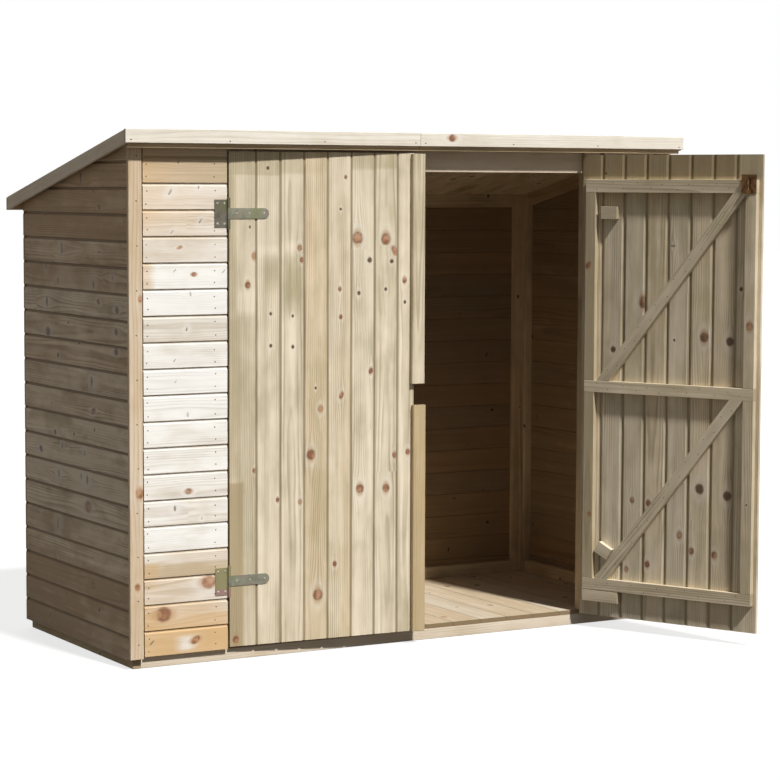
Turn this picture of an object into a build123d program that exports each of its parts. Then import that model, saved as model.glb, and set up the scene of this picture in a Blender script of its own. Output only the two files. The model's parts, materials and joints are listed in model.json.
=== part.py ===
from build123d import *
import math
import os

# A 7 ft by 3 ft bike store of pressure-treated softwood: a pent-roofed shed with shiplap walls,
# a boarded floor on bearers and a pair of framed, ledged and braced doors on tee hinges.
# Millimetres. +X runs to the right along the front, +Y from the front to the back, +Z up.
# The origin is on the underside of the middle floor bearer, at the middle of the plan.
# The left door stands ajar and the right door stands wide open.

# ---- overall sizes ----
wall_length = 2174.0        # over the outer faces of the side walls
wall_depth = 937.0          # front face to back face of the wall boards
front_height = 1800.0       # ground to the top of the roof at its front edge
back_height = 1570.0        # ground to the top of the roof at its back edge

# ---- roof ----
left_overhang = 30.0
right_overhang = 43.0
front_overhang = 50.0
back_overhang = 88.0
felt_thick = 2.0
deck_thick = 12.0
roof_board_cover = 94.0     # width that each roof board covers
roof_vee = (5.0, 3.0)       # width and depth of the V at each joint, on the underside
trim_thick = 12.0           # fascias and barge boards
trim_height = 46.0
batten_thick = 28.0         # battens under the eaves
batten_below_fascia = 16.0  # how far the front batten shows under the fascia

# ---- base and floor ----
base_inset = 16.0           # from the outer wall faces, at the sides and the back
bearer_height = 38.0
bearer_thick = 28.0
floor_thick = 16.0
floor_board_cover = 114.0
floor_groove = 3.0          # width and depth of the joint between floor boards

# ---- wall boards ----
board_thick = 12.0
board_cover = 88.0          # height that each shiplap board covers
cove_depth = 5.0
cove_height = 11.0
front_board_bottom = 40.0
side_board_bottom = 30.0
side_first_line = 113.4     # height of the first joint on the side and back walls
front_panel_length = 361.5  # corner to doorway, each side of the doors

# ---- wall frames ----
stud_face = 45.0
stud_thick = 28.0
header_drop = 135.0         # roof's front edge to the underside of the rail over the doorway
header_setback = 5.0        # keeps the header clear of the closed door boards
corner_strip_width = 48.0
corner_strip_proud = 3.0    # of the front boards
corner_strip_gap = 5.0      # to the ends of the front boards
corner_strip_bottom = 34.0

# ---- doors ----
hinge_gap = 7.0             # between the wall boards and each door's boards
meeting_gap = 10.0          # between the two doors' boards
right_door_extra = 17.0     # how much wider the right door is
door_board_thick = 12.0
door_board_cover = 90.0
wide_board = 100.0          # the first board of each door, counted from the left
vee_width = 11.0
vee_depth = 4.0
door_floor_lap = 7.0        # how far the door boards hang below the floor's top
door_head_gap = 8.0         # under the eaves batten
frame_inset = 22.0          # door frame in from the boards at the hinge edge
frame_inset_free = 13.5     # right door: frame in from the boards at its free edge
frame_reach = 4.0           # left door: frame beyond the boards, behind the cover strips
rail_face = 43.0            # door ledges
top_rail_face = 47.0
stile_face = 42.0
frame_thick = 20.0
top_ledge_gap = 23.0        # under the rail over the doorway
bottom_ledge_top = 187.0
left_mid_ledge_top = 896.0
right_mid_ledge_top = 913.0
brace_width = 42.0
brace_foot_gap = 9.0        # from the hinge stile to the foot of each brace
left_door_ajar = 2.5        # degrees open at rest
right_door_open = 115.0     # degrees open at rest

# ---- cover strips on the left door ----
cover_strip_width = 48.0
cover_strip_thick = 18.0
cover_strip_laps = (9.0, 14.0)  # lower and upper strip, on the left door's boards
cover_strip_relief = 5.0    # clears the right door's boards
cover_strip_break = (850.0, 924.0)
cover_strip_top_gap = 2.0

# ---- tee hinges ----
lower_hinge_rise = 87.0     # bottom ledge's top to the middle of the lower hinge
upper_hinge_drop = 120.0    # top ledge's top to the middle of the upper hinge
axis_stand_off = 6.0        # hinge axis in front of the wall and door faces
barrel_radius = 5.0
barrel_height = 107.0
pin_radius = 2.5
pin_clearance = 0.05
knuckle_clearance = 0.4
butt_height = 93.0
butt_reach = 51.0           # axis to the far edge of the butt plate
butt_thick = 2.0
strap_height = 36.0
strap_reach = 150.0
strap_thick = 2.5

# ---- small pieces on the doors ----
hinge_block_size = (58.0, 45.0)
upper_block_length = 66.0
upper_block_from_axis = 122.0
lower_block_tilt = -28.0
lower_block_side_gap = 8.0  # to the hinge stile
lower_block_foot_gap = 5.0  # to the brace that it stands beside, measured level
packer_length = 149.0
packer_height = 41.0
packer_gap = 2.0
bolt_plate = (58.0, 66.0, 2.0)
bolt_rod_radius = 4.5
bolt_rod_gap = 0.5          # between the rod and its plate
bolt_knob = (3.0, 10.0)     # radius and reach from the rod's middle
bolt_guide = (20.0, 10.0, 13.0)
bolt_rise = 18.0            # its plate above the top ledge

# ---- places worked out from the sizes ----
left = -wall_length / 2
right = wall_length / 2
front = -wall_depth / 2
back = wall_depth / 2
roof_left = left - left_overhang
roof_right = right + right_overhang
roof_front = front - front_overhang
roof_back = back + back_overhang
pitch = (front_height - back_height) / (roof_back - roof_front)
floor_top = bearer_height + floor_thick
floor_front = front + board_thick + header_setback
frame_front = front + board_thick
frame_back = back - board_thick
batten_bottom = front_height - trim_height - batten_below_fascia
header_bottom = front_height - header_drop
top_ledge_top = header_bottom - top_ledge_gap
bolt_top = top_ledge_top + bolt_rise
hinge_heights = (bottom_ledge_top + lower_hinge_rise, top_ledge_top - upper_hinge_drop)
door_bottom = floor_top - door_floor_lap
door_top = batten_bottom - door_head_gap
axis_y = front - axis_stand_off
left_axis_x = left + front_panel_length + hinge_gap / 2
right_axis_x = right - front_panel_length - hinge_gap / 2
doorway = wall_length - 2 * front_panel_length
left_door_width = (doorway - 2 * hinge_gap - meeting_gap - right_door_extra) / 2
right_door_width = left_door_width + right_door_extra
above = front_height + board_cover


def roof_top(y):
    """Height of the roof covering at depth y."""
    return front_height - pitch * (y - roof_front)


def deck_under(y):
    """Height of the underside of the roof boards at depth y."""
    return roof_top(y) - felt_thick - deck_thick


def box(x_range, y_range, z_range):
    """A block between two values along each axis."""
    size = [high - low for low, high in (x_range, y_range, z_range)]
    centre = [(high + low) / 2 for low, high in (x_range, y_range, z_range)]
    return Pos(*centre) * Box(*size)


def prism(corners, run):
    """Extrude the polygon through 3-D corners along a vector."""
    wire = Wire(Polyline(*corners, close=True).edges())
    return Part() + Solid.extrude(Face(wire), Vector(*run))


def under_roof(x_range, y_range, bottom):
    """A post or board that stands on a level and is cut to the slope of the roof boards."""
    x_low, x_high = x_range
    y_low, y_high = y_range
    corners = [
        (x_low, y_low, bottom),
        (x_low, y_high, bottom),
        (x_low, y_high, deck_under(y_high)),
        (x_low, y_low, deck_under(y_low)),
    ]
    return prism(corners, (x_high - x_low, 0, 0))


def along_slope(x_range, y_range, drop_top, drop_bottom):
    """A member that follows the roof, between two depths below its top."""
    x_low, x_high = x_range
    y_low, y_high = y_range
    corners = [
        (x_low, y_low, roof_top(y_low) - drop_bottom),
        (x_high, y_low, roof_top(y_low) - drop_bottom),
        (x_high, y_low, roof_top(y_low) - drop_top),
        (x_low, y_low, roof_top(y_low) - drop_top),
    ]
    run = y_high - y_low
    return prism(corners, (0, run, -pitch * run))


def write(node, *pieces):
    """Save one sub-part as parts/NODE.step."""
    solids = [solid for piece in pieces for solid in piece.solids()]
    whole = Compound(children=solids) if len(solids) > 1 else solids[0]
    whole.label = node
    export_step(whole, f"parts/{node}.step")


# ---- wall boards ----
def shiplap(bottom, top, first_line, place, run):
    """Shiplap boarding: a flat face broken by a scooped cove under each joint.

    place turns (depth into the wall, height) into a point, and run is the boards' direction.
    """
    edges = []
    start = (0.0, bottom)
    line = first_line
    while line < top:
        cove_start = (0.0, line - cove_height)
        cove_bend = (cove_depth * math.sqrt(0.5), line - cove_height * math.sqrt(0.5))
        cove_end = (cove_depth, line)
        edges.append(Line(place(*start), place(*cove_start)))
        edges.append(ThreePointArc(place(*cove_start), place(*cove_bend), place(*cove_end)))
        edges.append(Line(place(*cove_end), place(0.0, line)))
        start = (0.0, line)
        line += board_cover
    for corner in ((0.0, top), (board_thick, top), (board_thick, bottom), (0.0, bottom)):
        edges.append(Line(place(*start), place(*corner)))
        start = corner
    wire = Wire([part.edge() for part in edges])
    return Part() + Solid.extrude(Face(wire), Vector(*run))


def roof_cutter():
    """Everything above the underside of the roof boards."""
    corners = [
        (roof_left, roof_front, deck_under(roof_front)),
        (roof_left, roof_back, deck_under(roof_back)),
        (roof_left, roof_back, above),
        (roof_left, roof_front, above),
    ]
    return prism(corners, (roof_right - roof_left, 0, 0))


def side_boards(outer_x, inward):
    """One end wall's boards, cut to the roof slope."""
    place = lambda depth, height: (outer_x + inward * depth, frame_front, height)
    boards = shiplap(side_board_bottom, front_height, side_first_line, place,
                     (0, wall_depth - 2 * board_thick, 0))
    return boards - roof_cutter()


def back_boards():
    place = lambda depth, height: (left, back - depth, height)
    boards = shiplap(side_board_bottom, deck_under(back) + board_cover / 2, side_first_line, place,
                     (wall_length, 0, 0))
    return boards - roof_cutter()


def front_boards(x_low, x_high):
    place = lambda depth, height: (x_low, front + depth, height)
    boards = shiplap(front_board_bottom, front_height, front_board_bottom + board_cover, place,
                     (x_high - x_low, 0, 0))
    return boards - roof_cutter()


def build_walls():
    write("left_wall_boards", side_boards(left, 1))
    write("right_wall_boards", side_boards(right, -1))
    write("back_wall_boards", back_boards())
    start = corner_strip_width + corner_strip_gap
    write("front_left_boards", front_boards(left + start, left + front_panel_length))
    write("front_right_boards", front_boards(right - front_panel_length, right - start))
    strips = []
    for x_low in (left, right - corner_strip_width):
        strips.append(under_roof((x_low, x_low + corner_strip_width),
                                 (front - corner_strip_proud, frame_front), corner_strip_bottom))
    write("corner_strips", *strips)


# ---- wall frames ----
def side_frame(side, x_range):
    """An end wall's frame: corner studs with a sole plate and a sloping head rail between."""
    studs = [
        under_roof(x_range, (frame_front, frame_front + stud_face), floor_top),
        under_roof(x_range, (frame_back - stud_face, frame_back), floor_top),
    ]
    y_low = frame_front + stud_face
    y_high = frame_back - stud_face
    sole = box(x_range, (y_low, y_high), (floor_top, floor_top + stud_face))
    head_drop = felt_thick + deck_thick
    head = along_slope(x_range, (y_low, y_high), head_drop, head_drop + stud_face)
    write(f"{side}_wall_studs", *studs)
    write(f"{side}_wall_rails", sole, head)


def back_frame():
    """The back wall's frame, between the end walls' frames."""
    y_range = (frame_back - stud_thick, frame_back)
    x_low = left + board_thick + stud_thick
    x_high = right - board_thick - stud_thick
    stud_count = 4
    gap = (x_high - x_low - stud_count * stud_face) / (stud_count - 1)
    sole_top = floor_top + stud_face
    head_bottom = deck_under(frame_back) - stud_face
    studs = []
    rails = []
    for index in range(stud_count):
        start = x_low + index * (stud_face + gap)
        studs.append(under_roof((start, start + stud_face), y_range, floor_top))
        if index < stud_count - 1:
            between = (start + stud_face, start + stud_face + gap)
            rails.append(box(between, y_range, (floor_top, sole_top)))
            rails.append(under_roof(between, y_range, head_bottom))
    write("back_wall_studs", *studs)
    write("back_wall_rails", *rails)


def front_frame():
    """The frames of the two front panels and the header between them."""
    y_range = (frame_front, frame_front + stud_thick)
    studs = []
    rails = []
    for side in (-1, 1):
        corner = side * (right - board_thick - stud_thick)
        jamb = side * (right - front_panel_length)
        corner_stud = sorted((corner, corner - side * stud_face))
        jamb_stud = sorted((jamb, jamb + side * stud_face))
        between = sorted((corner_stud[0] if side > 0 else corner_stud[1],
                          jamb_stud[1] if side > 0 else jamb_stud[0]))
        studs.append(under_roof(corner_stud, y_range, floor_top))
        studs.append(under_roof(jamb_stud, y_range, floor_top))
        rails.append(box(between, y_range, (floor_top, floor_top + stud_face)))
        head_bottom = deck_under(frame_front) - stud_face
        rails.append(under_roof(between, y_range, head_bottom))
    write("front_wall_studs", *studs)
    write("front_wall_rails", *rails)
    jamb_x = right - front_panel_length
    header_y = (frame_front + header_setback, frame_front + header_setback + stud_thick)
    write("door_header", under_roof((-jamb_x, jamb_x), header_y, header_bottom))


def build_frames():
    side_frame("left", (left + board_thick, left + board_thick + stud_thick))
    side_frame("right", (right - board_thick - stud_thick, right - board_thick))
    back_frame()
    front_frame()


# ---- base and floor ----
def grooved_slab(x_range, joints, z_range, groove, start_y, run):
    """A boarded slab: a groove of groove width and depth on its upper face at each joint."""
    x_low, x_high = x_range
    z_low, z_high = z_range
    profile = [(x_low, z_low), (x_low, z_high)]
    for joint in joints:
        profile += [(joint - groove / 2, z_high), (joint, z_high - groove), (joint + groove / 2, z_high)]
    profile += [(x_high, z_high), (x_high, z_low)]
    return prism([(x, start_y, z) for x, z in profile], run)


def build_base():
    x_low = left + base_inset
    x_high = right - base_inset
    y_high = back - base_inset
    z_range = (0.0, bearer_height)
    side_rails = [
        box((x_low, x_low + bearer_thick), (floor_front, y_high), z_range),
        box((x_high - bearer_thick, x_high), (floor_front, y_high), z_range),
    ]
    between = (x_low + bearer_thick, x_high - bearer_thick)
    bearers = [
        box(between, (floor_front, floor_front + bearer_thick), z_range),
        box(between, (-bearer_thick / 2, bearer_thick / 2), z_range),
        box(between, (y_high - bearer_thick, y_high), z_range),
    ]
    write("base_side_rails", *side_rails)
    write("floor_bearers", *bearers)
    joint_count = int((x_high - x_low) // floor_board_cover)
    joints = [x_low + (index + 1) * floor_board_cover for index in range(joint_count)]
    joints = [joint for joint in joints if joint < x_high - floor_groove]
    write("floor_boards", grooved_slab((x_low, x_high), joints, (bearer_height, floor_top),
                                       floor_groove, floor_front, (0, y_high - floor_front, 0)))


# ---- roof ----
def roof_deck(x_range, first_joint):
    """One half of the roof boards, which run down the slope, grooved on the underside."""
    y_low = roof_front + trim_thick
    y_high = roof_back - trim_thick
    top = roof_top(y_low) - felt_thick
    bottom = top - deck_thick
    x_low, x_high = x_range
    profile = [(x_low, top), (x_low, bottom)]
    width, depth = roof_vee
    joint = first_joint
    while joint < x_high - width:
        profile += [(joint - width / 2, bottom), (joint, bottom + depth), (joint + width / 2, bottom)]
        joint += roof_board_cover
    profile += [(x_high, bottom), (x_high, top)]
    run = y_high - y_low
    return prism([(x, y_low, z) for x, z in profile], (0, run, -pitch * run))


def eaves_batten(x_range, y_range, bottom):
    return under_roof(x_range, y_range, bottom)


def build_roof():
    inner_left = roof_left + trim_thick
    inner_right = roof_right - trim_thick
    inner_front = roof_front + trim_thick
    inner_back = roof_back - trim_thick
    back_batten_bottom = roof_top(inner_back) - trim_height
    for side, x_range in (("left", (inner_left, 0.0)), ("right", (0.0, inner_right))):
        write(f"roof_boards_{side}", roof_deck(x_range, x_range[0] + roof_board_cover))
        write(f"eaves_battens_{side}",
              eaves_batten(x_range, (inner_front, inner_front + batten_thick), batten_bottom),
              eaves_batten(x_range, (inner_back - batten_thick, inner_back), back_batten_bottom))
    write("front_fascia_left", box((roof_left, 0.0), (roof_front, inner_front),
                                   (front_height - trim_height, front_height)))
    write("front_fascia_right", box((0.0, roof_right), (roof_front, inner_front),
                                    (front_height - trim_height, front_height)))
    barges = [along_slope(x_range, (inner_front, inner_back), 0.0, trim_height)
              for x_range in ((roof_left, inner_left), (inner_right, roof_right))]
    write("barge_boards", *barges)
    write("back_fascia", box((roof_left, roof_right), (inner_back, roof_back),
                             (back_height - trim_height, back_height)))
    write("roof_felt", along_slope((inner_left, inner_right), (inner_front, inner_back),
                                   0.0, felt_thick))


# ---- doors, drawn closed in their own terms: s from the hinge axis, n into the shed ----
class Door:
    """Places a door's pieces: the hinge axis, which way the door runs and how far it stands open."""

    def __init__(self, side, axis_x, run, swing, width):
        self.side = side
        self.axis_x = axis_x
        self.run = run
        self.swing = swing
        self.near = hinge_gap / 2
        self.far = hinge_gap / 2 + width

    def point(self, s, n, z):
        return (self.axis_x + self.run * s, axis_y + axis_stand_off + n, z)

    def block(self, s_range, n_range, z_range):
        xs = sorted(self.axis_x + self.run * s for s in s_range)
        ys = [front + n for n in n_range]
        return box(xs, ys, z_range)

    def plate(self, outline, n_low, n_high):
        """A flat piece on the door: an outline in (s, z), from n_low to n_high."""
        corners = [self.point(s, n_low, z) for s, z in outline]
        return prism(corners, (0, n_high - n_low, 0))

    def opened(self, piece):
        """Turn a piece from the closed door to where the door stands."""
        hinge_axis = Axis((self.axis_x, axis_y, 0), (0, 0, 1))
        return piece.rotate(hinge_axis, self.swing)

    def save(self, name, *pieces):
        write(f"{self.side}_door_{name}", *[self.opened(piece) for piece in pieces])


def door_boards(door, first_board):
    """Tongued and grooved boards with a V at each joint, on both faces."""
    near = door.near
    far = door.far
    joints = []
    joint = near + first_board
    while joint < far - vee_width:
        joints.append(joint)
        joint += door_board_cover
    outline = [(near, 0.0)]
    for joint in joints:
        outline += [(joint - vee_width / 2, 0.0), (joint, vee_depth), (joint + vee_width / 2, 0.0)]
    outline += [(far, 0.0), (far, door_board_thick)]
    for joint in reversed(joints):
        outline += [(joint + vee_width / 2, door_board_thick), (joint, door_board_thick - vee_depth),
                    (joint - vee_width / 2, door_board_thick)]
    outline.append((near, door_board_thick))
    corners = [door.point(s, n, door_bottom) for s, n in outline]
    return prism(corners, (0, 0, door_top - door_bottom))


def brace_outline(foot, foot_z, head, head_z):
    """A sloping band whose hinge-side edge runs from foot to head."""
    slope = math.atan2(head_z - foot_z, head - foot)
    across = brace_width / math.sin(slope)
    return [(foot, foot_z), (foot + across, foot_z), (head + across, head_z), (head, head_z)]


def door_frame(door, free_edge, mid_top):
    """Stiles between three ledges, with two braces that rise from the hinge side."""
    n_range = (door_board_thick, door_board_thick + frame_thick)
    hinge_edge = door.near + frame_inset
    hinge_stile = (hinge_edge, hinge_edge + stile_face)
    free_stile = (free_edge - stile_face, free_edge)
    ledges = [door.block((hinge_edge, free_edge), n_range, (top - face, top))
              for top, face in ((bottom_ledge_top, rail_face), (mid_top, rail_face),
                                (top_ledge_top, top_rail_face))]
    foot = hinge_stile[1] + brace_foot_gap
    low_span = mid_top - rail_face - bottom_ledge_top
    high_span = top_ledge_top - mid_top
    low_head = brace_head(foot, free_stile[0], low_span)
    high_head = brace_head(foot, free_edge, high_span)
    low_brace = door.plate(brace_outline(foot, bottom_ledge_top, low_head, mid_top - rail_face), *n_range)
    high_brace = door.plate(brace_outline(foot, mid_top, high_head, top_ledge_top), *n_range)
    ledges[2] = ledges[2] - high_brace
    stiles = []
    for z_range in ((bottom_ledge_top, mid_top - rail_face), (mid_top, top_ledge_top - top_rail_face)):
        stiles.append(door.block(hinge_stile, n_range, z_range))
        stiles.append(door.block(free_stile, n_range, z_range) - high_brace)
    door.save("ledges", *ledges)
    door.save("stiles", *stiles)
    door.save("braces", low_brace, high_brace)
    door.save("hinge_blocks", *hinge_blocks(door, hinge_stile[1], foot, (low_head - foot) / low_span))


def brace_head(foot, far_edge, rise):
    """Where a brace's hinge-side edge ends so that its other edge just reaches far_edge."""
    head = far_edge - brace_width
    for _ in range(20):
        slope = math.atan2(rise, head - foot)
        head = far_edge - brace_width / math.sin(slope)
    return head


def strap(door, height):
    """The tee hinge's strap on the door's face, with its round end and its bored knuckle."""
    half = strap_height / 2
    n_low = -strap_thick
    body = door.block((0.0, strap_reach - half), (n_low, 0.0), (height - half, height + half))
    end = Pos(*door.point(strap_reach - half, n_low / 2, height))
    rounded = end * Rot(90, 0, 0) * Cylinder(half, strap_thick)
    knuckle = Pos(door.axis_x, axis_y, height) * Cylinder(barrel_radius, strap_height)
    bore = Pos(door.axis_x, axis_y, height) * Cylinder(pin_radius + pin_clearance, strap_height)
    return body + rounded + knuckle - bore


def butt(door, height):
    """The tee hinge's butt plate on the wall, its two knuckles and the pin."""
    plate = door.block((-butt_reach, 0.0), (-butt_thick, 0.0),
                       (height - butt_height / 2, height + butt_height / 2))
    centre = Pos(door.axis_x, axis_y, height)
    room = strap_height + 2 * knuckle_clearance
    plate = plate - centre * Cylinder(barrel_radius + knuckle_clearance, room)
    barrel = centre * Cylinder(barrel_radius, barrel_height)
    barrel = barrel - centre * Cylinder(barrel_radius + 1.0, room)
    pin = centre * Cylinder(pin_radius, barrel_height)
    return plate + barrel + pin


def hinge_blocks(door, stile_edge, brace_foot, brace_lean):
    """Blocks behind the boards that take the straps' bolts; the lower one leans by the brace."""
    n_range = (door_board_thick, door_board_thick + frame_thick)
    length, height = hinge_block_size
    upper = tilted(upper_block_from_axis, hinge_heights[1], upper_block_length, height, 0.0)
    about_centre = tilted(0.0, 0.0, length, height, lower_block_tilt)
    s = stile_edge + lower_block_side_gap - min(ds for ds, dz in about_centre)
    z = bottom_ledge_top + max((s + ds + lower_block_foot_gap - brace_foot) / brace_lean - dz
                               for ds, dz in about_centre)
    lower = tilted(s, z, length, height, lower_block_tilt)
    return door.plate(upper, *n_range), door.plate(lower, *n_range)


def tilted(s, z, length, height, angle):
    """The corners of a rectangle turned about its centre."""
    turn = math.radians(angle)
    corners = []
    for along, up in ((-1, -1), (1, -1), (1, 1), (-1, 1)):
        ds = along * length / 2
        dz = up * height / 2
        corners.append((s + ds * math.cos(turn) - dz * math.sin(turn),
                        z + ds * math.sin(turn) + dz * math.cos(turn)))
    return corners


def cover_strips(door):
    """Two lengths of strip that cover the gap between the doors, relieved at the back."""
    low_end, high_start = cover_strip_break
    heights = ((door_bottom, low_end), (high_start, door_top - cover_strip_top_gap))
    strips = []
    for lap, (low, high) in zip(cover_strip_laps, heights):
        start = door.far - lap
        end = start + cover_strip_width
        outline = [
            (start, 0.0),
            (door.far, 0.0),
            (door.far, -cover_strip_relief),
            (end, -cover_strip_relief),
            (end, -cover_strip_thick),
            (start, -cover_strip_thick),
        ]
        corners = [door.point(s, n, low) for s, n in outline]
        strips.append(prism(corners, (0, 0, high - low)))
    return strips


def door_bolt(door, free_edge):
    """A small tower bolt on the end of the top ledge, drawn back."""
    width, height, thick = bolt_plate
    face = door_board_thick + frame_thick
    centre = free_edge - width / 2
    plate = door.block((centre - width / 2, centre + width / 2), (face, face + thick),
                       (bolt_top - height, bolt_top))
    guide_width, guide_depth, guide_height = bolt_guide
    guides = []
    for z in (bolt_top - height + guide_height / 2, bolt_top - guide_height / 2):
        guides.append(door.block((centre - guide_width / 2, centre + guide_width / 2),
                                 (face, face + thick + guide_depth),
                                 (z - guide_height / 2, z + guide_height / 2)))
    rod_depth = face + thick + bolt_rod_radius + bolt_rod_gap
    rod_place = Pos(*door.point(centre, rod_depth, bolt_top - height / 2))
    rod = rod_place * Cylinder(bolt_rod_radius, height - guide_height)
    knob_place = Pos(*door.point(centre, rod_depth + bolt_knob[1] / 2, bolt_top - height / 2))
    knob = knob_place * Rot(90, 0, 0) * Cylinder(*bolt_knob)
    return plate + guides[0] + guides[1] + rod + knob


def build_doors():
    left_door = Door("left", left_axis_x, 1, -left_door_ajar, left_door_width)
    right_door = Door("right", right_axis_x, -1, right_door_open, right_door_width)
    board_count = int((right_door_width - wide_board) // door_board_cover)
    narrow_board = right_door_width - wide_board - board_count * door_board_cover
    left_free = left_door.far + frame_reach
    right_free = right_door.far - frame_inset_free

    left_door.save("boards", door_boards(left_door, wide_board))
    right_door.save("boards", door_boards(right_door, narrow_board))
    door_frame(left_door, left_free, left_mid_ledge_top)
    door_frame(right_door, right_free, right_mid_ledge_top)
    for door in (left_door, right_door):
        door.save("hinge_straps", *[strap(door, height) for height in hinge_heights])
        write(f"{door.side}_hinge_butts", *[butt(door, height) for height in hinge_heights])
    left_door.save("cover_strips", *cover_strips(left_door))
    right_door.save("bolt", door_bolt(right_door, right_free))
    packer_top = bottom_ledge_top - rail_face - packer_gap
    packer_start = right_door.near + frame_inset
    packer = right_door.block((packer_start, packer_start + packer_length),
                              (door_board_thick, door_board_thick + frame_thick),
                              (packer_top - packer_height, packer_top))
    right_door.save("packer", packer)


def build():
    os.makedirs("parts", exist_ok=True)
    build_base()
    build_walls()
    build_frames()
    build_roof()
    build_doors()


build()
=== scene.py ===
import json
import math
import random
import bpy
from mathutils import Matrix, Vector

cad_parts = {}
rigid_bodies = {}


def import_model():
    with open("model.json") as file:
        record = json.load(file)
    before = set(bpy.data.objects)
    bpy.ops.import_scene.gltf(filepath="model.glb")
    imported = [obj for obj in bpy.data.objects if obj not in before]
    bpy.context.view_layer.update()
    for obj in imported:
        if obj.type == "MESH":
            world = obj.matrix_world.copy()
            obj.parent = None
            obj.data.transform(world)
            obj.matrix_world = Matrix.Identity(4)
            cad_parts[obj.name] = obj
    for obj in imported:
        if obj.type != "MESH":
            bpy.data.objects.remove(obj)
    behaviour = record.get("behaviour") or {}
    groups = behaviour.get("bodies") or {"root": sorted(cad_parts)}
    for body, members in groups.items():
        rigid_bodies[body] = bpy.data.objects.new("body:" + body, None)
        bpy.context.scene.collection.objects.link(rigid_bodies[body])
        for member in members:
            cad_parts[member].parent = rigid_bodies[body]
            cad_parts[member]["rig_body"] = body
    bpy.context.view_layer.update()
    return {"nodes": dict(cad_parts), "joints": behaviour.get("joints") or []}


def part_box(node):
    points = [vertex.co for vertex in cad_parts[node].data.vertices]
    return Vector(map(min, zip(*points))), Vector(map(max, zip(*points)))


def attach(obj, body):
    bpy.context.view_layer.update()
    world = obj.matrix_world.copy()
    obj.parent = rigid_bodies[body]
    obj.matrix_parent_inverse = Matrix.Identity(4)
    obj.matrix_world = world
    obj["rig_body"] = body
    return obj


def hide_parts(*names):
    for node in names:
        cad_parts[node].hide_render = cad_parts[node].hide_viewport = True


bl_info = {
    "name": "Bike store",
    "version": (1, 0, 0),
    "blender": (4, 5, 0),
    "location": "3D View > Sidebar > Bike store",
    "description": "Boards, roofs and hangs the doors of a pent-roofed timber bike store",
    "category": "Object",
}

import bmesh
import bpy
from bpy.props import FloatProperty, FloatVectorProperty, PointerProperty
from mathutils import Matrix, Vector

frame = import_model()

ALONG_X = Vector((1, 0, 0))
ALONG_Y = Vector((0, 1, 0))
UP = Vector((0, 0, 1))

BOARD = 0.012  # thickness of the wall, roof and door boards
ARRIS = 0.0008  # taken off the corners of a board
SUNK = 0.0004  # how far a nail head goes into a wall board
AXIS_TO_FACE = 0.006  # from a hinge's axis to the face of the door boards
SIDE_SOFTNESS = 0.012  # how softly a stain ends across a board
LIVE, DEAD, SPIKE, RINGED = 0, 1, 2, 3


# ---- what a user would change ----
def a_length(name, description, default):
    return FloatProperty(name=name, description=description, default=default, unit="LENGTH")


def an_angle(name, description, degrees):
    return FloatProperty(name=name, description=description, default=math.radians(degrees), subtype="ANGLE",
                         unit="ROTATION")


def a_number(name, description, default):
    return FloatProperty(name=name, description=description, default=default)


def a_colour(name, description, *default):
    return FloatVectorProperty(name=name, description=description, default=default + (1,), size=4,
                               subtype="COLOR")


class BoardSizes(bpy.types.PropertyGroup):
    """Sizes of the shiplap, the matched boards and the floor boards."""

    shiplap_cover: a_length("Shiplap cover", "Height that each wall board covers", 0.088)
    side_first_joint: a_length("First joint", "Height of the first joint on the side and back walls", 0.1134)
    cove_height: a_length("Cove height", "Height of the scoop under each shiplap joint", 0.011)
    cove_depth: a_length("Cove depth", "Depth of the scoop under each shiplap joint", 0.005)
    door_cover: a_length("Door board cover", "Width that each door board covers", 0.090)
    wide_board: a_length("Wide door board", "Width of the leftmost board of each door", 0.100)
    floor_cover: a_length("Floor board cover", "Width that each floor board covers", 0.114)
    roof_cover: a_length("Roof board cover", "Width that each roof board covers", 0.094)
    door_vee_width: a_length("Door V width", "Width of the V between door boards", 0.011)
    door_vee_depth: a_length("Door V depth", "Depth of the V between door boards", 0.004)
    door_inner_vee: a_length("Inner V width", "Width of the V on the inner face of the doors", 0.020)
    roof_vee_width: a_length("Roof V width", "Width of the V between roof boards", 0.005)
    roof_vee_depth: a_length("Roof V depth", "Depth of the V between roof boards", 0.003)


class TimberColours(bpy.types.PropertyGroup):
    """Colours of the treated softwood and its fittings."""

    panel_pale: a_colour("Panel, pale", "Sapwood of the front wall boards", 0.89, 0.875, 0.84)
    panel_tan: a_colour("Panel, tan", "Darker streaks of the front wall boards", 0.58, 0.45, 0.305)
    wall_pale: a_colour("Side walls, pale", "Sapwood of the side and back boards", 0.69, 0.58, 0.435)
    wall_tan: a_colour("Side walls, tan", "Darker streaks of the side and back boards", 0.38, 0.268, 0.163)
    trim_pale: a_colour("Trim, pale", "Sapwood of the fascias, barge boards and floor", 0.86, 0.83, 0.755)
    door_pale: a_colour("Door, pale", "Sapwood of the door boards", 0.80, 0.71, 0.56)
    door_tan: a_colour("Door, tan", "Darker streaks of the door boards", 0.50, 0.415, 0.275)
    frame_pale: a_colour("Frame, pale", "Sawn framing, pale parts", 0.68, 0.54, 0.36)
    frame_tan: a_colour("Frame, tan", "Sawn framing, darker parts", 0.46, 0.34, 0.20)
    felt: a_colour("Roof felt", "Mineral on the roofing felt", 0.078, 0.090, 0.073)
    zinc: a_colour("Zinc", "Galvanised hinge straps", 0.215, 0.212, 0.160)


class StageLight(bpy.types.PropertyGroup):
    """The light on the store and the colour it stands on."""

    sun_strength: a_number("Sun strength", "Strength of the main light", 4.25)
    sun_bearing: an_angle("Sun bearing", "How far the light comes from the right of straight ahead", 9)
    sun_height: an_angle("Sun height", "How high the light stands", 51)
    sky_strength: a_number("Sky strength", "Soft light from all round", 0.186)
    fill_strength: a_number("Fill strength", "Strength of the weak light from behind", 1.1)
    ground_colour: a_colour("Ground", "What the ground throws back at the store", 0.115, 0.105, 0.095)


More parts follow.
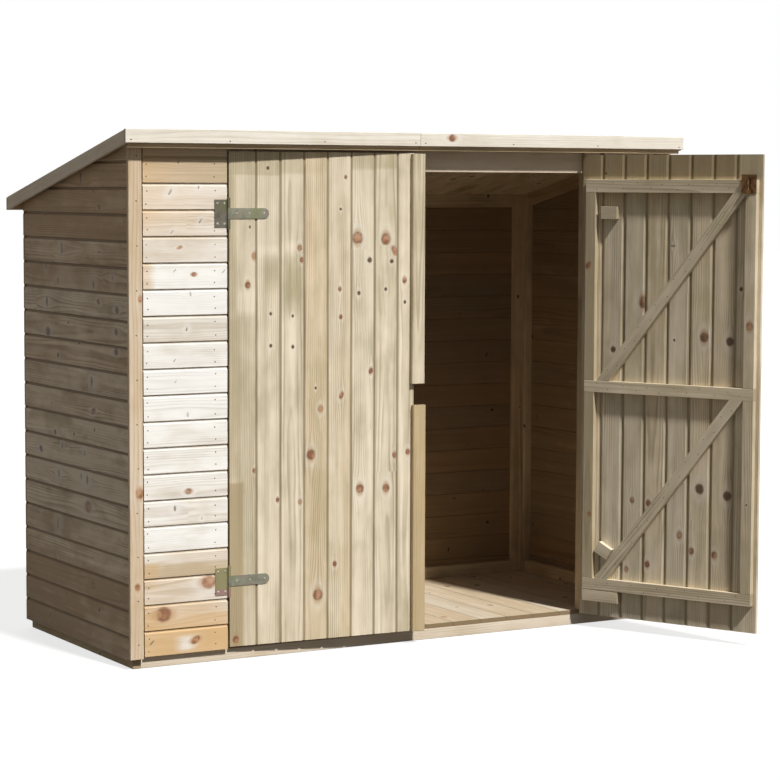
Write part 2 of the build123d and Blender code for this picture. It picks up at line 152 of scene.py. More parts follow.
# ---- finishes ----
class Signal:
    """A socket in a finish, so that sums on it read as plain sums."""

    def __init__(self, finish, socket):
        self.finish = finish
        self.socket = socket

    def __add__(self, other):
        return self.finish.maths("ADD", self, other)

    def __radd__(self, other):
        return self.finish.maths("ADD", other, self)

    def __sub__(self, other):
        return self.finish.maths("SUBTRACT", self, other)

    def __rsub__(self, other):
        return self.finish.maths("SUBTRACT", other, self)

    def __mul__(self, other):
        return self.finish.maths("MULTIPLY", self, other)

    def __rmul__(self, other):
        return self.finish.maths("MULTIPLY", other, self)

    def __truediv__(self, other):
        return self.finish.maths("DIVIDE", self, other)

    def __rtruediv__(self, other):
        return self.finish.maths("DIVIDE", other, self)

    def __abs__(self):
        return self.finish.maths("ABSOLUTE", self)


class Finish:
    """One material, or the sky, built up node by node."""

    def __init__(self, owner):
        owner.use_nodes = True
        self.owner = owner
        self.tree = owner.node_tree
        self.tree.nodes.clear()

    def node(self, kind, settings=None, sockets=None, output=0):
        """Adds a node, makes its settings, fills its sockets and gives one of its outputs."""
        made = self.tree.nodes.new(kind)
        for key, value in (settings or {}).items():
            setattr(made, key, value)
        for key, value in (sockets or {}).items():
            if isinstance(value, Signal):
                self.tree.links.new(value.socket, made.inputs[key])
            else:
                made.inputs[key].default_value = value
        return Signal(self, made.outputs[output]) if made.outputs else None

    def maths(self, operation, *values):
        return self.node("ShaderNodeMath", {"operation": operation}, dict(enumerate(values)))

    def clamped(self, value):
        return self.node("ShaderNodeClamp", None, {0: value})

    def smooth(self, value, low, high):
        """0 below low, 1 above high, eased between."""
        return self.node("ShaderNodeMapRange", {"interpolation_type": "SMOOTHSTEP"},
                         {"Value": value, "From Min": low, "From Max": high})

    def reach(self, first, second):
        """The length of the slope over two sides."""
        return self.maths("SQRT", first * first + second * second)

    def mix(self, share, first, second):
        return self.node("ShaderNodeMix", {"data_type": "RGBA"}, {0: share, 6: first, 7: second}, 2)

    def times(self, first, second):
        return self.node("ShaderNodeMix", {"data_type": "RGBA", "blend_type": "MULTIPLY"},
                         {0: 1.0, 6: first, 7: second}, 2)

    def place(self):
        return self.node("ShaderNodeTexCoord", None, None, "Object")

    def parts(self, vector):
        split = self.node("ShaderNodeSeparateXYZ", None, {0: vector}).socket.node
        return [Signal(self, socket) for socket in split.outputs]

    def attribute(self, name):
        return self.parts(self.node("ShaderNodeAttribute", {"attribute_name": name}, None, "Vector"))

    def vector(self, x, y, z):
        return self.node("ShaderNodeCombineXYZ", None, {0: x, 1: y, 2: z})

    def noise(self, vector, scale, detail, roughness):
        return self.node("ShaderNodeTexNoise", None,
                         {"Vector": vector, "Scale": scale, "Detail": detail, "Roughness": roughness})

    def cells(self, vector, scale, output):
        return self.node("ShaderNodeTexVoronoi", None, {"Vector": vector, "Scale": scale}, output)

    def bump(self, height, strength, distance):
        return self.node("ShaderNodeBump", None,
                         {"Height": height, "Strength": strength, "Distance": distance})

    def seen_rays(self):
        """1 where the eye looks straight, by a mirror or through glass; 0 for what lights the store."""
        rays = self.node("ShaderNodeLightPath").socket.node.outputs
        seen, mirrored, through = (Signal(self, rays[f"Is {kind} Ray"])
                                   for kind in ("Camera", "Glossy", "Transmission"))
        return self.clamped(seen + mirrored + through)

    def closed(self, shader, out="ShaderNodeOutputMaterial"):
        self.node(out, None, {"Surface": shader})
        return self.owner

    def done(self, **sockets):
        """Closes the finish with its surface shader."""
        names = {name.replace("_", " "): value for name, value in sockets.items()}
        return self.closed(self.node("ShaderNodeBsdfPrincipled", None, names))


def scaled(base, red, green=None, blue=None):
    """A colour with its parts taken by a share each, or all by the first."""
    green, blue = (red, red) if green is None else (green, blue)
    return base[0] * red, base[1] * green, base[2] * blue, 1


def softwood(name, pale, tan, streaks, rings, patches, rough=0.68, sawn=0.5, live=(0.42, 0.17, 0.095),
             dull=(0.085, 0.040, 0.022), spike=(0.20, 0.155, 0.095)):
    """Treated softwood: growth rings bent round each knot, broad streaks, patches and fine fibre.

    The knot attribute's last part is the knot's kind (0 live, 1 dead, 2 spike, 3 ringed) plus its radius.
    """
    finish = Finish(bpy.data.materials.new(name))
    clamped, smooth, mix = finish.clamped, finish.smooth, finish.mix
    along, across, deep = finish.attribute("grain")
    knot_along, knot_across, knot_size = finish.attribute("knot")
    tone, warmth, ends_and_joint_shade = finish.attribute("tint")

    # the kind and the size of the knot near by, and the grain that bends round it
    kind = finish.maths("FLOOR", knot_size)
    size = finish.maths("MAXIMUM", knot_size - kind, 0.0006)
    present = finish.maths("GREATER_THAN", knot_size - kind, 0.0008)
    dark = clamped(1.0 - abs(kind - 1.0))
    ringed = clamped(kind - 2.0)
    narrow = clamped(kind - 1.0) - ringed
    reach = knot_along * 0.30
    spread = size * size * 2.0 / (reach * reach + knot_across * knot_across + size * size * 1.6)
    bent = across - knot_across * spread * present

    def noise(side, scales, detail=2.0, roughness=0.5, shift=0.0):
        """Noise by its scales along, across and into the wood."""
        into = deep * scales[2] + shift if shift else deep * scales[2]
        return finish.noise(finish.vector(along * scales[0], side * scales[1], into), 1.0, detail, roughness)

    wander = noise(bent, (0.9, 7.0, 7.0))
    ring = finish.maths("FRACT", finish.reach(bent, deep) * 165.0 + along * 0.30 + wander * 5.0)
    late = smooth(ring, 0.35, 0.86) * (1.0 - smooth(ring, 0.90, 1.0))
    fading = noise(bent, (2.2, 16.0, 16.0), shift=3.0)
    drawn = late * smooth(fading, 0.36, 0.62)
    streak = noise(bent, (0.75, 34.0, 20.0), 4.0, 0.6)
    patch = noise(bent, (3.2, 10.0, 10.0), 3.0, 0.6, 7.0)
    blotch = noise(across, (9.0, 16.0, 9.0), shift=17.0)
    fibre = noise(bent, (14.0, 620.0, 620.0), 2.0, 0.6)
    cross = noise(bent, (60.0, 160.0, 160.0))

    # clear wood: pale to tan, then its rings, its green and orange casts and its worked face
    share = 0.5 - tone * 0.5 + (streak - 0.5) * (1.5 * streaks) + (patch - 0.5) * (1.7 * patches)
    share = share + (blotch - 0.5) * (0.8 * patches) + (fibre - 0.5) * 0.30 + drawn * (0.42 * rings)
    wood = mix(clamped(share), pale, tan)
    # tones below -1 darken further towards deep tan: used for dark stains, and for painted shade on the inner
    # faces, the right door's top and its hinge stile
    wood = mix(clamped(-1.0 - tone), wood, scaled(tan, 0.44, 0.38, 0.30))
    dark_ring = scaled(tan, 0.60)
    green = scaled(tan, 0.80, 0.90, 0.84)
    orange = scaled(tan, 1.22, 0.98, 0.60)
    wood = mix(drawn * (0.30 * rings) * smooth(streak, 0.20, 0.65), wood, dark_ring)
    wood = mix(smooth(patch + (blotch - 0.5) * 0.5, 0.50, 0.74) * (0.42 * patches), wood, green)
    wood = mix(clamped(warmth * 0.65), wood, orange)
    wood = mix(clamped(warmth * -0.65), wood, green)
    worked = 1.04 - drawn * (0.20 * rings) - (streak - 0.5) * (0.42 * streaks)
    worked = worked - (blotch - 0.5) * (0.22 * patches) - (fibre - 0.5) * 0.14
    wood = finish.times(wood, finish.vector(worked, worked, worked))

    # how near the knot is, with an uneven edge; spikes are long and narrow
    shaken = noise(across, (85.0, 85.0, 60.0)) - 0.5
    rough_edge = shaken * finish.maths("MINIMUM", 0.0034 / size, 0.75)
    knot_side = knot_across * (1.0 - narrow * 0.30)
    near = finish.reach(knot_along * (0.92 + narrow * 0.60), knot_side) / size
    near = near * (1.0 + narrow * 0.50) + rough_edge
    halo_far = finish.reach(knot_along * (0.58 + narrow * 0.30), knot_side) / size + rough_edge
    halo = (1.0 - smooth(halo_far, 1.0, 2.7)) * present * clamped(0.60 + tone * 0.55 - narrow * 0.25)
    uneven = smooth(noise(across, (34.0, 34.0, 20.0), 2.0, 0.55), 0.36, 0.60)
    core = (1.0 - smooth(near, 0.66, 1.16)) * present
    core = core * clamped(0.55 + uneven * 0.45 + dark * 0.35)
    rim = smooth(near, 0.50, 0.92) * (1.0 - smooth(near, 1.0, 1.40)) * present
    whorl = finish.maths("FRACT", near * 2.7 + shaken)

    # the knot: a pale halo, swirling rings and a stain about it, then its core and its rim
    bright = tuple(0.40 + 0.60 * channel for channel in pale[:3]) + (1,)
    wood = mix(halo * 0.50, wood, bright)
    swirl = smooth(finish.maths("FRACT", halo_far * 1.9 + shaken * 2.0), 0.45, 0.9)
    wood = mix(swirl * halo * (0.30 * rings), wood, dark_ring)
    stained = (1.0 - smooth(halo_far, 0.8, 1.6)) * present * (1.0 - narrow)
    wood = mix(stained * (0.60 - dark * 0.30), wood, scaled(tan, 0.95, 0.70, 0.50))
    centre = mix(whorl * 0.35 + uneven * 0.55, scaled(live, 1.0), scaled(live, 0.42))
    centre = mix(dark, centre, scaled(dull, 1.0))
    centre = mix(narrow, centre, scaled(spike, 1.0))
    centre = mix(ringed * (0.55 + whorl * 0.4), centre, scaled(dull, 1.5, 1.3, 1.3))
    wood = mix(core * (0.92 - narrow * 0.08), wood, centre)
    wood = mix(rim * (0.20 + uneven * 0.40 + dark * 0.15 - narrow * 0.40), wood, scaled(dull, 1.1, 1.0, 0.9))
    # sawn ends are darker, and so are the insides of joints, which is painted shade with some dirt
    wood = mix(ends_and_joint_shade * (0.46 + late * 0.12), wood, scaled(tan, 0.40, 0.36, 0.28))

    height = fibre * sawn + late * 0.35 + cross * 0.3 * sawn - rim * 0.8 + core * 0.3 - dark * core * 0.8
    return finish.done(Base_Color=wood, Roughness=clamped(rough + (fibre - 0.5) * 0.15 - core * 0.12),
                       Specular_IOR_Level=0.25, Normal=finish.bump(height, 0.55, 0.0006))


def mineral_felt(name, slate):
    """Roofing felt faced with crushed slate."""
    finish = Finish(bpy.data.materials.new(name))
    place = finish.place()
    grit = finish.noise(place, 900.0, 3.0, 0.7)
    clouds = finish.noise(place, 5.0, 3.0, 0.6)
    cell = finish.cells(place, 620.0, "Distance")
    pale = tuple(min(1.0, 2.1 * channel + 0.02) for channel in slate[:3]) + (1,)
    tone = finish.mix(finish.smooth(grit, 0.35, 0.68), scaled(slate, 0.45), pale)
    tone = finish.mix(finish.smooth(clouds, 0.35, 0.75) * 0.55, tone, scaled(slate, 1.3, 1.15, 1.2))
    return finish.done(Base_Color=tone, Roughness=0.93 - cell * 0.1, Specular_IOR_Level=0.3,
                       Normal=finish.bump(grit - cell * 0.6, 0.8, 0.0008))


def zinc_plate(name, zinc, metal, rough=0.55, stained_below=0.0):
    """Dull galvanised steel with its spangle; plates below a height have gone yellow with a rosy foot."""
    finish = Finish(bpy.data.materials.new(name))
    place = finish.place()
    flake, other, _ = finish.parts(finish.cells(place, 210.0, "Color"))
    stain = finish.noise(place, 38.0, 4.0, 0.6)
    fine = finish.noise(place, 700.0, 2.0, 0.5)
    cast = finish.noise(place, 17.0, 2.0, 0.5)
    tone = finish.mix(flake * 0.6 + fine * 0.2, zinc, scaled(zinc, 1.25, 1.25, 1.3))
    tone = finish.mix(finish.smooth(stain, 0.42, 0.75) * 0.75, tone, scaled(zinc, 0.55, 0.56, 0.52))
    tone = finish.mix(finish.smooth(cast, 0.50, 0.62) * 0.7, tone, scaled(zinc, 0.95, 1.0, 0.72))
    tone = finish.mix((1.0 - finish.smooth(cast, 0.36, 0.44)) * 0.6, tone, scaled(zinc, 1.15, 0.88, 0.90))
    if stained_below:
        height = finish.parts(place)[2]
        for share, low, high, stained in ((0.8, stained_below, stained_below + 0.1, (0.30, 0.27, 0.13, 1)),
                                          (0.85, 0.244, 0.252, (0.33, 0.19, 0.175, 1))):
            tone = finish.mix((1.0 - finish.smooth(height, low, high)) * share, tone, stained)
    return finish.done(Base_Color=tone, Metallic=metal,
                       Roughness=finish.clamped(rough + stain * 0.18 - other * 0.10),
                       Normal=finish.bump(stain + fine * 0.3 + flake * 0.2, 0.25, 0.0006))


def brown_brass(name):
    """Brass that has gone brown."""
    finish = Finish(bpy.data.materials.new(name))
    place = finish.place()
    tarnish = finish.noise(place, 55.0, 3.0, 0.5)
    scratch = finish.noise(place, 800.0, 2.0, 0.5)
    tone = finish.mix(finish.smooth(tarnish, 0.35, 0.7), (0.13, 0.070, 0.030, 1), (0.055, 0.028, 0.016, 1))
    return finish.done(Base_Color=tone, Metallic=1.0, Roughness=finish.clamped(0.42 + tarnish * 0.25),
                       Normal=finish.bump(tarnish + scratch * 0.2, 0.2, 0.0003))


def plain_ground(name, thrown):
    """The floor under the store: pale to the eye, and it throws back the ground's colour."""
    finish = Finish(bpy.data.materials.new(name))
    mottle = finish.noise(finish.place(), 6.0, 3.0, 0.5)
    white = finish.mix(mottle * 0.04, (0.96, 0.96, 0.96, 1), (0.90, 0.90, 0.90, 1))
    glow = finish.node("ShaderNodeEmission", None, {"Color": (1, 1, 1, 1), "Strength": 1.0})
    matt = finish.node("ShaderNodeBsdfDiffuse", None, {"Color": white})
    pale = finish.node("ShaderNodeMixShader", None, {0: 0.25, 1: glow, 2: matt})
    ground = finish.node("ShaderNodeBsdfDiffuse", None, {"Color": thrown})
    return finish.closed(finish.node("ShaderNodeMixShader", None, {0: finish.seen_rays(), 1: ground, 2: pale}))


def open_sky(name, sky_strength):
    """Soft light from all round, and plain white to the eye."""
    finish = Finish(bpy.data.worlds.new(name))
    soft = finish.node("ShaderNodeBackground", None, {"Color": (1.0, 0.99, 0.97, 1), "Strength": sky_strength})
    white = finish.node("ShaderNodeBackground", None, {"Color": (1, 1, 1, 1), "Strength": 1.0})
    mixed = finish.node("ShaderNodeMixShader", None, {0: finish.seen_rays(), 1: soft, 2: white})
    return finish.closed(mixed, "ShaderNodeOutputWorld")


# each finish: its maker, what it is made from (names are the user's colours) and its knots' colours
FINISHES = {
    "panel_boards": (softwood, ("panel_pale", "panel_tan", 0.45, 0.35, 0.35),
                     {"live": (0.52, 0.22, 0.10), "dull": (0.17, 0.085, 0.05), "spike": (0.20, 0.165, 0.115)}),
    "wall_boards": (softwood, ("wall_pale", "wall_tan", 1.1, 0.9, 1.0),
                    {"dull": (0.030, 0.016, 0.010), "spike": (0.045, 0.030, 0.018)}),
    "trim_boards": (softwood, ("trim_pale", "panel_tan", 0.35, 0.3, 0.3), {}),
    "door_boards": (softwood, ("door_pale", "door_tan", 0.72, 0.75, 0.6), {"live": (0.45, 0.155, 0.075)}),
    "sawn_framing": (softwood, ("frame_pale", "frame_tan", 0.9, 0.8, 0.8, 0.75, 0.9), {}),
    "roof_felt": (mineral_felt, ("felt",), {}),
    "zinc": (zinc_plate, ("zinc", 0.7), {}),
    "old_zinc": (zinc_plate, ((0.135, 0.123, 0.093, 1), 0.6, 0.55, 0.5), {}),
    "screw_heads": (zinc_plate, ((0.42, 0.40, 0.33, 1), 0.8, 0.4), {}),
    "nail_heads": (zinc_plate, ((0.07, 0.055, 0.042, 1), 0.5, 0.6), {}),
    "brown_brass": (brown_brass, (), {}),
}
finishes = {}


def finish_named(name):
    """Makes each finish once, when a piece first wants it."""
    if name not in finishes:
        maker, given, knots = FINISHES[name]
        colours = bpy.context.scene.timber_colours
        values = [tuple(getattr(colours, value)) if isinstance(value, str) else value for value in given]
        finishes[name] = maker(name, *values, **knots)
    return finishes[name]


# ---- cutting timber ----
def extruded(section, origin, run, across, deep, length):
    """A length of moulding: its section, in (across, deep), carried along run."""
    piece = bmesh.new()
    near = [piece.verts.new(origin + across * w + deep * t) for w, t in section]
    far = [piece.verts.new(vertex.co + run * length) for vertex in near]
    piece.faces.new(near)
    piece.faces.new(far)
    skinned(piece, (near, far))
    bmesh.ops.recalc_face_normals(piece, faces=piece.faces)
    return piece


def skinned(piece, loops):
    """Faces between each loop of corners and the next."""
    for first, second in zip(loops, loops[1:]):
        for index in range(len(first)):
            after = (index + 1) % len(first)
            piece.faces.new((first[index], first[after], second[after], second[index]))


def everything(piece):
    return piece.verts[:] + piece.edges[:] + piece.faces[:]


def sawn_off(piece, point, normal):
    """Cuts away what is beyond a plane and closes the cut."""
    cut = bmesh.ops.bisect_plane(piece, geom=everything(piece), plane_co=point, plane_no=normal,
                                 clear_outer=True)
    edges = [item for item in cut["geom_cut"] if isinstance(item, bmesh.types.BMEdge)]
    if edges:
        bmesh.ops.edgeloop_fill(piece, edges=edges)
        bmesh.ops.recalc_face_normals(piece, faces=piece.faces)


def scattered_knots(chance, length, width, marks, spacing, kinds=(LIVE, LIVE, DEAD)):
    """Knots along one piece, as (along, across, radius, kind, lean): the marked ones and some by chance."""
    knots = [mark + (LIVE, 0.0)[len(mark) - 3:] for mark in marks]
    place = chance.uniform(0.05, spacing)
    while place < length:
        radius = chance.choice((0.003, 0.004, 0.005, 0.006, 0.008, 0.010))
        kind = chance.choice(kinds)
        across = chance.uniform(0.1, 0.9) * width
        lean = chance.uniform(-0.5, 0.5)
        if all(abs(place - other[0]) > 0.10 for other in marks):
            knots.append((place, across, radius, kind, lean))
        place += chance.uniform(0.45, 1.6) * spacing
    return sorted(knots)


def stain_weight(along, across, stain):
    """1 inside a stain, 0 outside it, sloping at its edges."""
    weight = 1.0
    for value, low, high, soft in ((along, stain[0], stain[1], stain[6]),
                                   (across, stain[2], stain[3], SIDE_SOFTNESS)):
        for inside in (value - low, high - value):
            weight *= min(max(inside / soft + 0.5, 0.0), 1.0)
    return weight


def spread_over(value, along, across):
    """One value all over, or (start, end), or (start, end) low down and (start, end) high up."""
    if isinstance(value, (int, float)):
        return value
    low = value[0] + (value[1] - value[0]) * along
    if len(value) == 2:
        return low
    return low + (value[2] + (value[3] - value[2]) * along - low) * across


def measured(point, origin, axes):
    """Where a point stands from the origin along each of the axes."""
    return [(point - origin).dot(axis) for axis in axes]


class Timber:
    """Cut pieces of timber gathered into one object; each corner knows its place in the grain."""

    def __init__(self, name, seed):
        self.name = name
        self.chance = random.Random(seed)
        self.points = []
        self.faces = []
        self.grain = []
        self.knots = []
        self.tints = []

    def add(self, piece, origin, run, across, deep, knots, tone, warmth, stains_and_shade=(), joint=None, back=None,
            ends=1.0):
        """Takes in one cut piece.

        knots are (along, across, radius, kind, lean); stains_and_shade are (from, to, low, high, tone, warmth,
        softness) patches, each a stain or, on the right door's inner face, painted shade; joint is (start,
        stop, darkness) of the darkened inside of a joint, painted shade with some dirt; back is the tone of the
        back faces, darker as painted shade inside the store; ends is how dark the sawn ends are.
        """
        axes = (run, across, deep)
        midways = {round((first[0] + second[0]) / 2, 5) for first, second in zip(knots, knots[1:])}
        lengthwise = midways.union(edge + side * stain[6] for stain in stains_and_shade for edge in stain[:2]
                                   for side in (-0.5, 0.0, 0.5))
        sideways = {edge + side * SIDE_SOFTNESS for stain in stains_and_shade for edge in stain[2:4]
                    for side in (-0.5, 0.0, 0.5)}
        for cuts, way in ((lengthwise, run), (sideways, across)):
            for cut in sorted(cuts):
                bmesh.ops.bisect_plane(piece, geom=everything(piece), plane_co=origin + way * cut, plane_no=way)
        shift = Vector((self.chance.uniform(0, 30), self.chance.uniform(-0.055, 0.055),
                        self.chance.uniform(0.012, 0.07)))
        flip = self.chance.choice((-1, 1))
        start = len(self.points)
        length, width, thick = (max((vertex.co - origin).dot(axis) for vertex in piece.verts) for axis in axes)
        piece.verts.index_update()
        self.points.extend(vertex.co.copy() for vertex in piece.verts)
        for face in piece.faces:
            self.faces.append([start + vertex.index for vertex in face.verts])
            middle, _, depth = measured(face.calc_center_median(), origin, axes)
            nearest = min(knots, key=lambda knot: abs(knot[0] - middle)) if knots else None
            sawn = abs(face.normal.dot(run)) > 0.7
            # back faces of the wall boards take the back tone: painted shade inside the store
            behind = back is not None and face.normal.dot(deep) > 0.5 and depth > thick - 0.004
            for vertex in face.verts:
                l, w, t = measured(vertex.co, origin, axes)
                self.grain.extend((shift.x + flip * l, w - shift.y, t + shift.z))
                if nearest:
                    place, height, radius, kind, lean = nearest
                    self.knots.extend((l - place + lean * (w - height), w - height, radius + kind))
                else:
                    self.knots.extend((1.0, 1.0, 0.0))
                shade = spread_over(tone, l / length, w / width)
                warm = spread_over(warmth, l / length, w / width)
                for stain in stains_and_shade:
                    weight = stain_weight(l, w, stain)
                    shade += (stain[4] - shade) * weight
                    warm += (stain[5] - warm) * weight
                dark = ends if sawn else 0.0
                # the inside of a joint is darkened: painted shade, with some dirt
                if joint and not sawn and joint[0] < t < thick - joint[1]:
                    dark = joint[2]
                self.tints.extend((back if behind else shade, warm, dark))
        piece.free()

    def fitted(self, finish, slot, body, node):
        """Makes the object, in place of the node that it stands for."""
        mesh = bpy.data.meshes.new(self.name)
        mesh.from_pydata(self.points, [], self.faces)
        for name, values in (("grain", self.grain), ("knot", self.knots), ("tint", self.tints)):
            layer = mesh.attributes.new(name, "FLOAT_VECTOR", "CORNER")
            layer.data.foreach_set("vector", values)
        fitted(mesh, finish, slot, body, node, crease=20)


def fitted(mesh, finish, slot, body, *nodes, crease=32):
    """Puts a finished mesh on its body, in place of the nodes that it stands for."""
    mesh.polygons.foreach_set("use_smooth", [True] * len(mesh.polygons))
    mesh.set_sharp_from_angle(angle=math.radians(crease))
    mesh.materials.append(finish_named(finish))
    piece = bpy.data.objects.new(mesh.name, mesh)
    bpy.context.scene.collection.objects.link(piece)
    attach(piece, body)
    if nodes:
        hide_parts(*nodes)


def meshed(piece, name):
    """Closes a shape into a mesh."""
    mesh = bpy.data.meshes.new(name)
    piece.to_mesh(mesh)
    piece.free()
    return mesh


# ---- pieces cut to the frame's own shapes ----
def cleaned(node):
    """A node's shape with one face for each flat side."""
    piece = bmesh.new()
    piece.from_mesh(frame["nodes"][node].data)
    bmesh.ops.remove_doubles(piece, verts=piece.verts, dist=1e-5)
    bmesh.ops.dissolve_limit(piece, angle_limit=math.radians(1), verts=piece.verts, edges=piece.edges)
    return piece


def separate_pieces(whole):
    """The loose pieces of a shape, each as a shape of its own."""
    waiting = set(whole.faces)
    pieces = []
    while waiting:
        seed = min(waiting, key=lambda face: face.index)
        group = {seed}
        front = [seed]
        while front:
            face = front.pop()
            for edge in face.edges:
                for neighbour in edge.link_faces:
                    if neighbour not in group:
                        group.add(neighbour)
                        front.append(neighbour)
        waiting -= group
        piece = bmesh.new()
        corners = {}
        for face in sorted(group, key=lambda face: face.index):
            for vertex in face.verts:
                if vertex not in corners:
                    corners[vertex] = piece.verts.new(vertex.co)
            piece.faces.new([corners[vertex] for vertex in face.verts])
        piece.normal_update()
        pieces.append(piece)
    whole.free()
    return pieces


def eased(piece, width):
    """Takes the sharpness off every edge."""
    edges = [edge for edge in piece.edges if len(edge.link_faces) == 2
             and edge.calc_face_angle(0) > math.radians(30)]
    bmesh.ops.bevel(piece, geom=edges, offset=width, segments=1, profile=0.5, affect="EDGES",
                    clamp_overlap=True)


def lie_of(piece):
    """The corner, the run, the way across and the way in of a plain length of timber, and its size."""
    longest = max(piece.edges, key=lambda edge: round(edge.calc_length(), 5))
    run = (longest.verts[1].co - longest.verts[0].co).normalized()
    if max(run, key=abs) < 0:
        run = -run
    sides = [face for face in piece.faces if abs(face.normal.dot(run)) < 0.3]
    widest = max(sides, key=lambda face: round(face.calc_area(), 6))
    deep = -widest.normal
    deep = (deep - run * deep.dot(run)).normalized()
    across = deep.cross(run)
    corner = [min(vertex.co.dot(axis) for vertex in piece.verts) for axis in (run, across, deep)]
    origin = run * corner[0] + across * corner[1] + deep * corner[2]
    size = [max((vertex.co - origin).dot(axis) for vertex in piece.verts) for axis in (run, across, deep)]
    return origin, run, across, deep, size


def from_frame(node, finish, slot, seed, ease=0.001, tones=(-0.4, 0.4), warmth=(-0.3, 0.3), marks=(),
               spacing=0.5, tints=()):
    """Timber to a node's own shape, with eased edges, grain and knots.

    marks are (point, radius, kind); tints are each piece's own (tone, warmth), lowest piece first.
    """
    timber = Timber(node + "_timber", seed)
    pieces = separate_pieces(cleaned(node))
    if tints:
        pieces.sort(key=lambda piece: min((round(vertex.co.z, 2), vertex.co.x) for vertex in piece.verts))
    for index, piece in enumerate(pieces):
        origin, run, across, deep, size = lie_of(piece)
        own = []
        for point, radius, kind in marks:
            l, w, t = measured(Vector(point), origin, (run, across, deep))
            if 0 < l < size[0] and -0.004 < w < size[1] + 0.004 and -0.01 < t < size[2] + 0.01:
                own.append((l, w, radius, kind, 0.0))
        knots = scattered_knots(timber.chance, size[0], size[1], own, spacing)
        eased(piece, ease)
        tone, warm = timber.chance.uniform(*tones), timber.chance.uniform(*warmth)
        if tints:
            tone, warm = tints[index % len(tints)]
        timber.add(piece, origin, run, across, deep, knots, tone, warm)
    timber.fitted(finish, slot, frame["nodes"][node]["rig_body"], node)


def row_of_boards(start, end, cover, least, opening=None):
    """Where each board of a row starts and ends, and whether it is the first or the last.

    What is left over at the end, if it is under least, stays with the last whole board.
    """
    edges = [start, start + opening] if opening else [start]
    while edges[-1] + cover < end - least:
        edges.append(edges[-1] + cover)
    edges.append(end)
    return [(left, right, left == start, right == end) for left, right in zip(edges, edges[1:])]


# ---- the walls ----
def roof_fall(node, thick):
    """How far the roof falls with each metre back, for boards or felt that lie on the slope."""
    low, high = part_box(node)
    return (high.z - low.z - thick) / (high.y - low.y)


def roof_slope():
    """A point on the underside of the roof boards, and the way up from it."""
    low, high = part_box("roof_boards_left")
    fall = roof_fall("roof_boards_left", BOARD)
    return Vector((0, low.y, high.z - BOARD - 0.0003)), Vector((0, fall, 1)).normalized()


def shiplap_section(cover, sizes, lowest):
    """Section of one shiplap board: its face, the scoop at its top and the laps behind."""
    scoop, depth = sizes.cove_height, sizes.cove_depth
    section = [(0.0, ARRIS), (ARRIS, 0.0)]
    for step in range(6):
        turn = math.radians(90 * step / 5)
        section.append((cover - scoop * math.cos(turn), depth * math.sin(turn)))
    top, tip, bevel = cover + 0.0073, 0.0004, 0.002
    section += [(top - tip, depth), (top, depth + tip), (top, BOARD - bevel), (top - bevel, BOARD)]
    if lowest:
        section.append((0.0, BOARD))
    else:
        rebate, lip = 0.0078, 0.0047
        section += [(rebate + bevel, BOARD), (rebate, BOARD - bevel), (rebate, lip), (0.0, lip)]
    return section


def clad(node, seed, run, deep, first_joint, finish="wall_boards", tones=(), marks=(), spacing=0.55, stains_and_shade=()):
    """Boards one wall, from the bottom up, and cuts the boards to the roof."""
    sizes = bpy.context.scene.board_sizes
    low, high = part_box(node)
    timber = Timber(node + "_shiplap", seed)
    corner = Vector((low.x if run.x or deep.x > 0 else high.x, low.y if run.y or deep.y > 0 else high.y, 0))
    length = (high - low).dot(run)
    point, normal = roof_slope()
    # the insides of the joints are darkened: painted shade in the cove, with some dirt
    joint_dirt_and_shade = (0.002, 0.006, 1.7) if finish == "wall_boards" else (0.0035, 0.006, 0.9)
    # the inner faces are darkened: painted shade inside the store
    inner_face_shade = -1.6 if deep.y else -1.4
    bottom, joint, count = low.z, first_joint, 0
    while bottom < high.z - 0.003:
        cover = joint - bottom
        origin = corner + UP * bottom + deep * timber.chance.uniform(0.0, 0.0006)
        board = extruded(shiplap_section(cover, sizes, count == 0), origin, run, UP, deep, length)
        sawn_off(board, point, normal)
        if len(board.faces) == 0:
            board.free()
            break
        own = [(mark[0] - corner.dot(run), mark[1] - bottom) + mark[2:] for mark in marks
               if bottom < mark[1] < joint]
        knots = scattered_knots(timber.chance, length, cover, own, spacing, (LIVE, DEAD, SPIKE, SPIKE))
        if count < len(tones):
            tone, warm = tones[count]
        else:
            tone = [timber.chance.uniform(-0.6, 0.5) for _ in range(4)]
            warm = (timber.chance.uniform(-0.4, 0.5), timber.chance.uniform(-0.4, 0.5))
        patches = [stain[1:] for stain in stains_and_shade if stain[0] == count]
        timber.add(board, origin, run, UP, deep, knots, tone, warm, patches, joint_dirt_and_shade, inner_face_shade)
        bottom = joint
        joint += sizes.shiplap_cover
        count += 1
    timber.fitted(finish, "board_timber", "root", node)


# knots of a wall are (along it, height, radius, kind, lean); tones are each board's (tone, warmth) from
# the bottom up; stains are (board, from, to, low, high, tone, warmth, softness)
SIDE_KNOTS = [
    (-0.373, 1.201, 0.011, DEAD), (-0.364, 1.127, 0.010, DEAD), (-0.363, 1.060, 0.011, DEAD),
    (0.238, 1.098, 0.014, DEAD), (0.247, 1.201, 0.021, SPIKE), (-0.154, 0.945, 0.021, SPIKE),
    (-0.174, 1.280, 0.018, SPIKE), (-0.335, 1.306, 0.013, SPIKE), (0.106, 1.396, 0.021, SPIKE),
    (-0.068, 1.640, 0.019, SPIKE), (-0.230, 1.540, 0.007, DEAD), (0.252, 1.329, 0.013, SPIKE),
    (-0.179, 1.598, 0.010, SPIKE), (0.141, 1.280, 0.013, SPIKE), (0.146, 1.019, 0.007, DEAD),
    (-0.088, 0.992, 0.010, SPIKE), (-0.117, 0.510, 0.017, LIVE), (-0.110, 0.603, 0.018, SPIKE),
    (-0.055, 0.608, 0.014, SPIKE), (0.159, 0.421, 0.021, SPIKE), (0.148, 0.601, 0.017, SPIKE),
    (0.319, 0.460, 0.010, SPIKE), (0.178, 0.744, 0.008, DEAD), (0.005, 0.752, 0.005, DEAD),
    (0.113, 0.702, 0.012, SPIKE), (-0.088, 0.695, 0.012, SPIKE), (-0.176, 0.782, 0.005, DEAD),
]
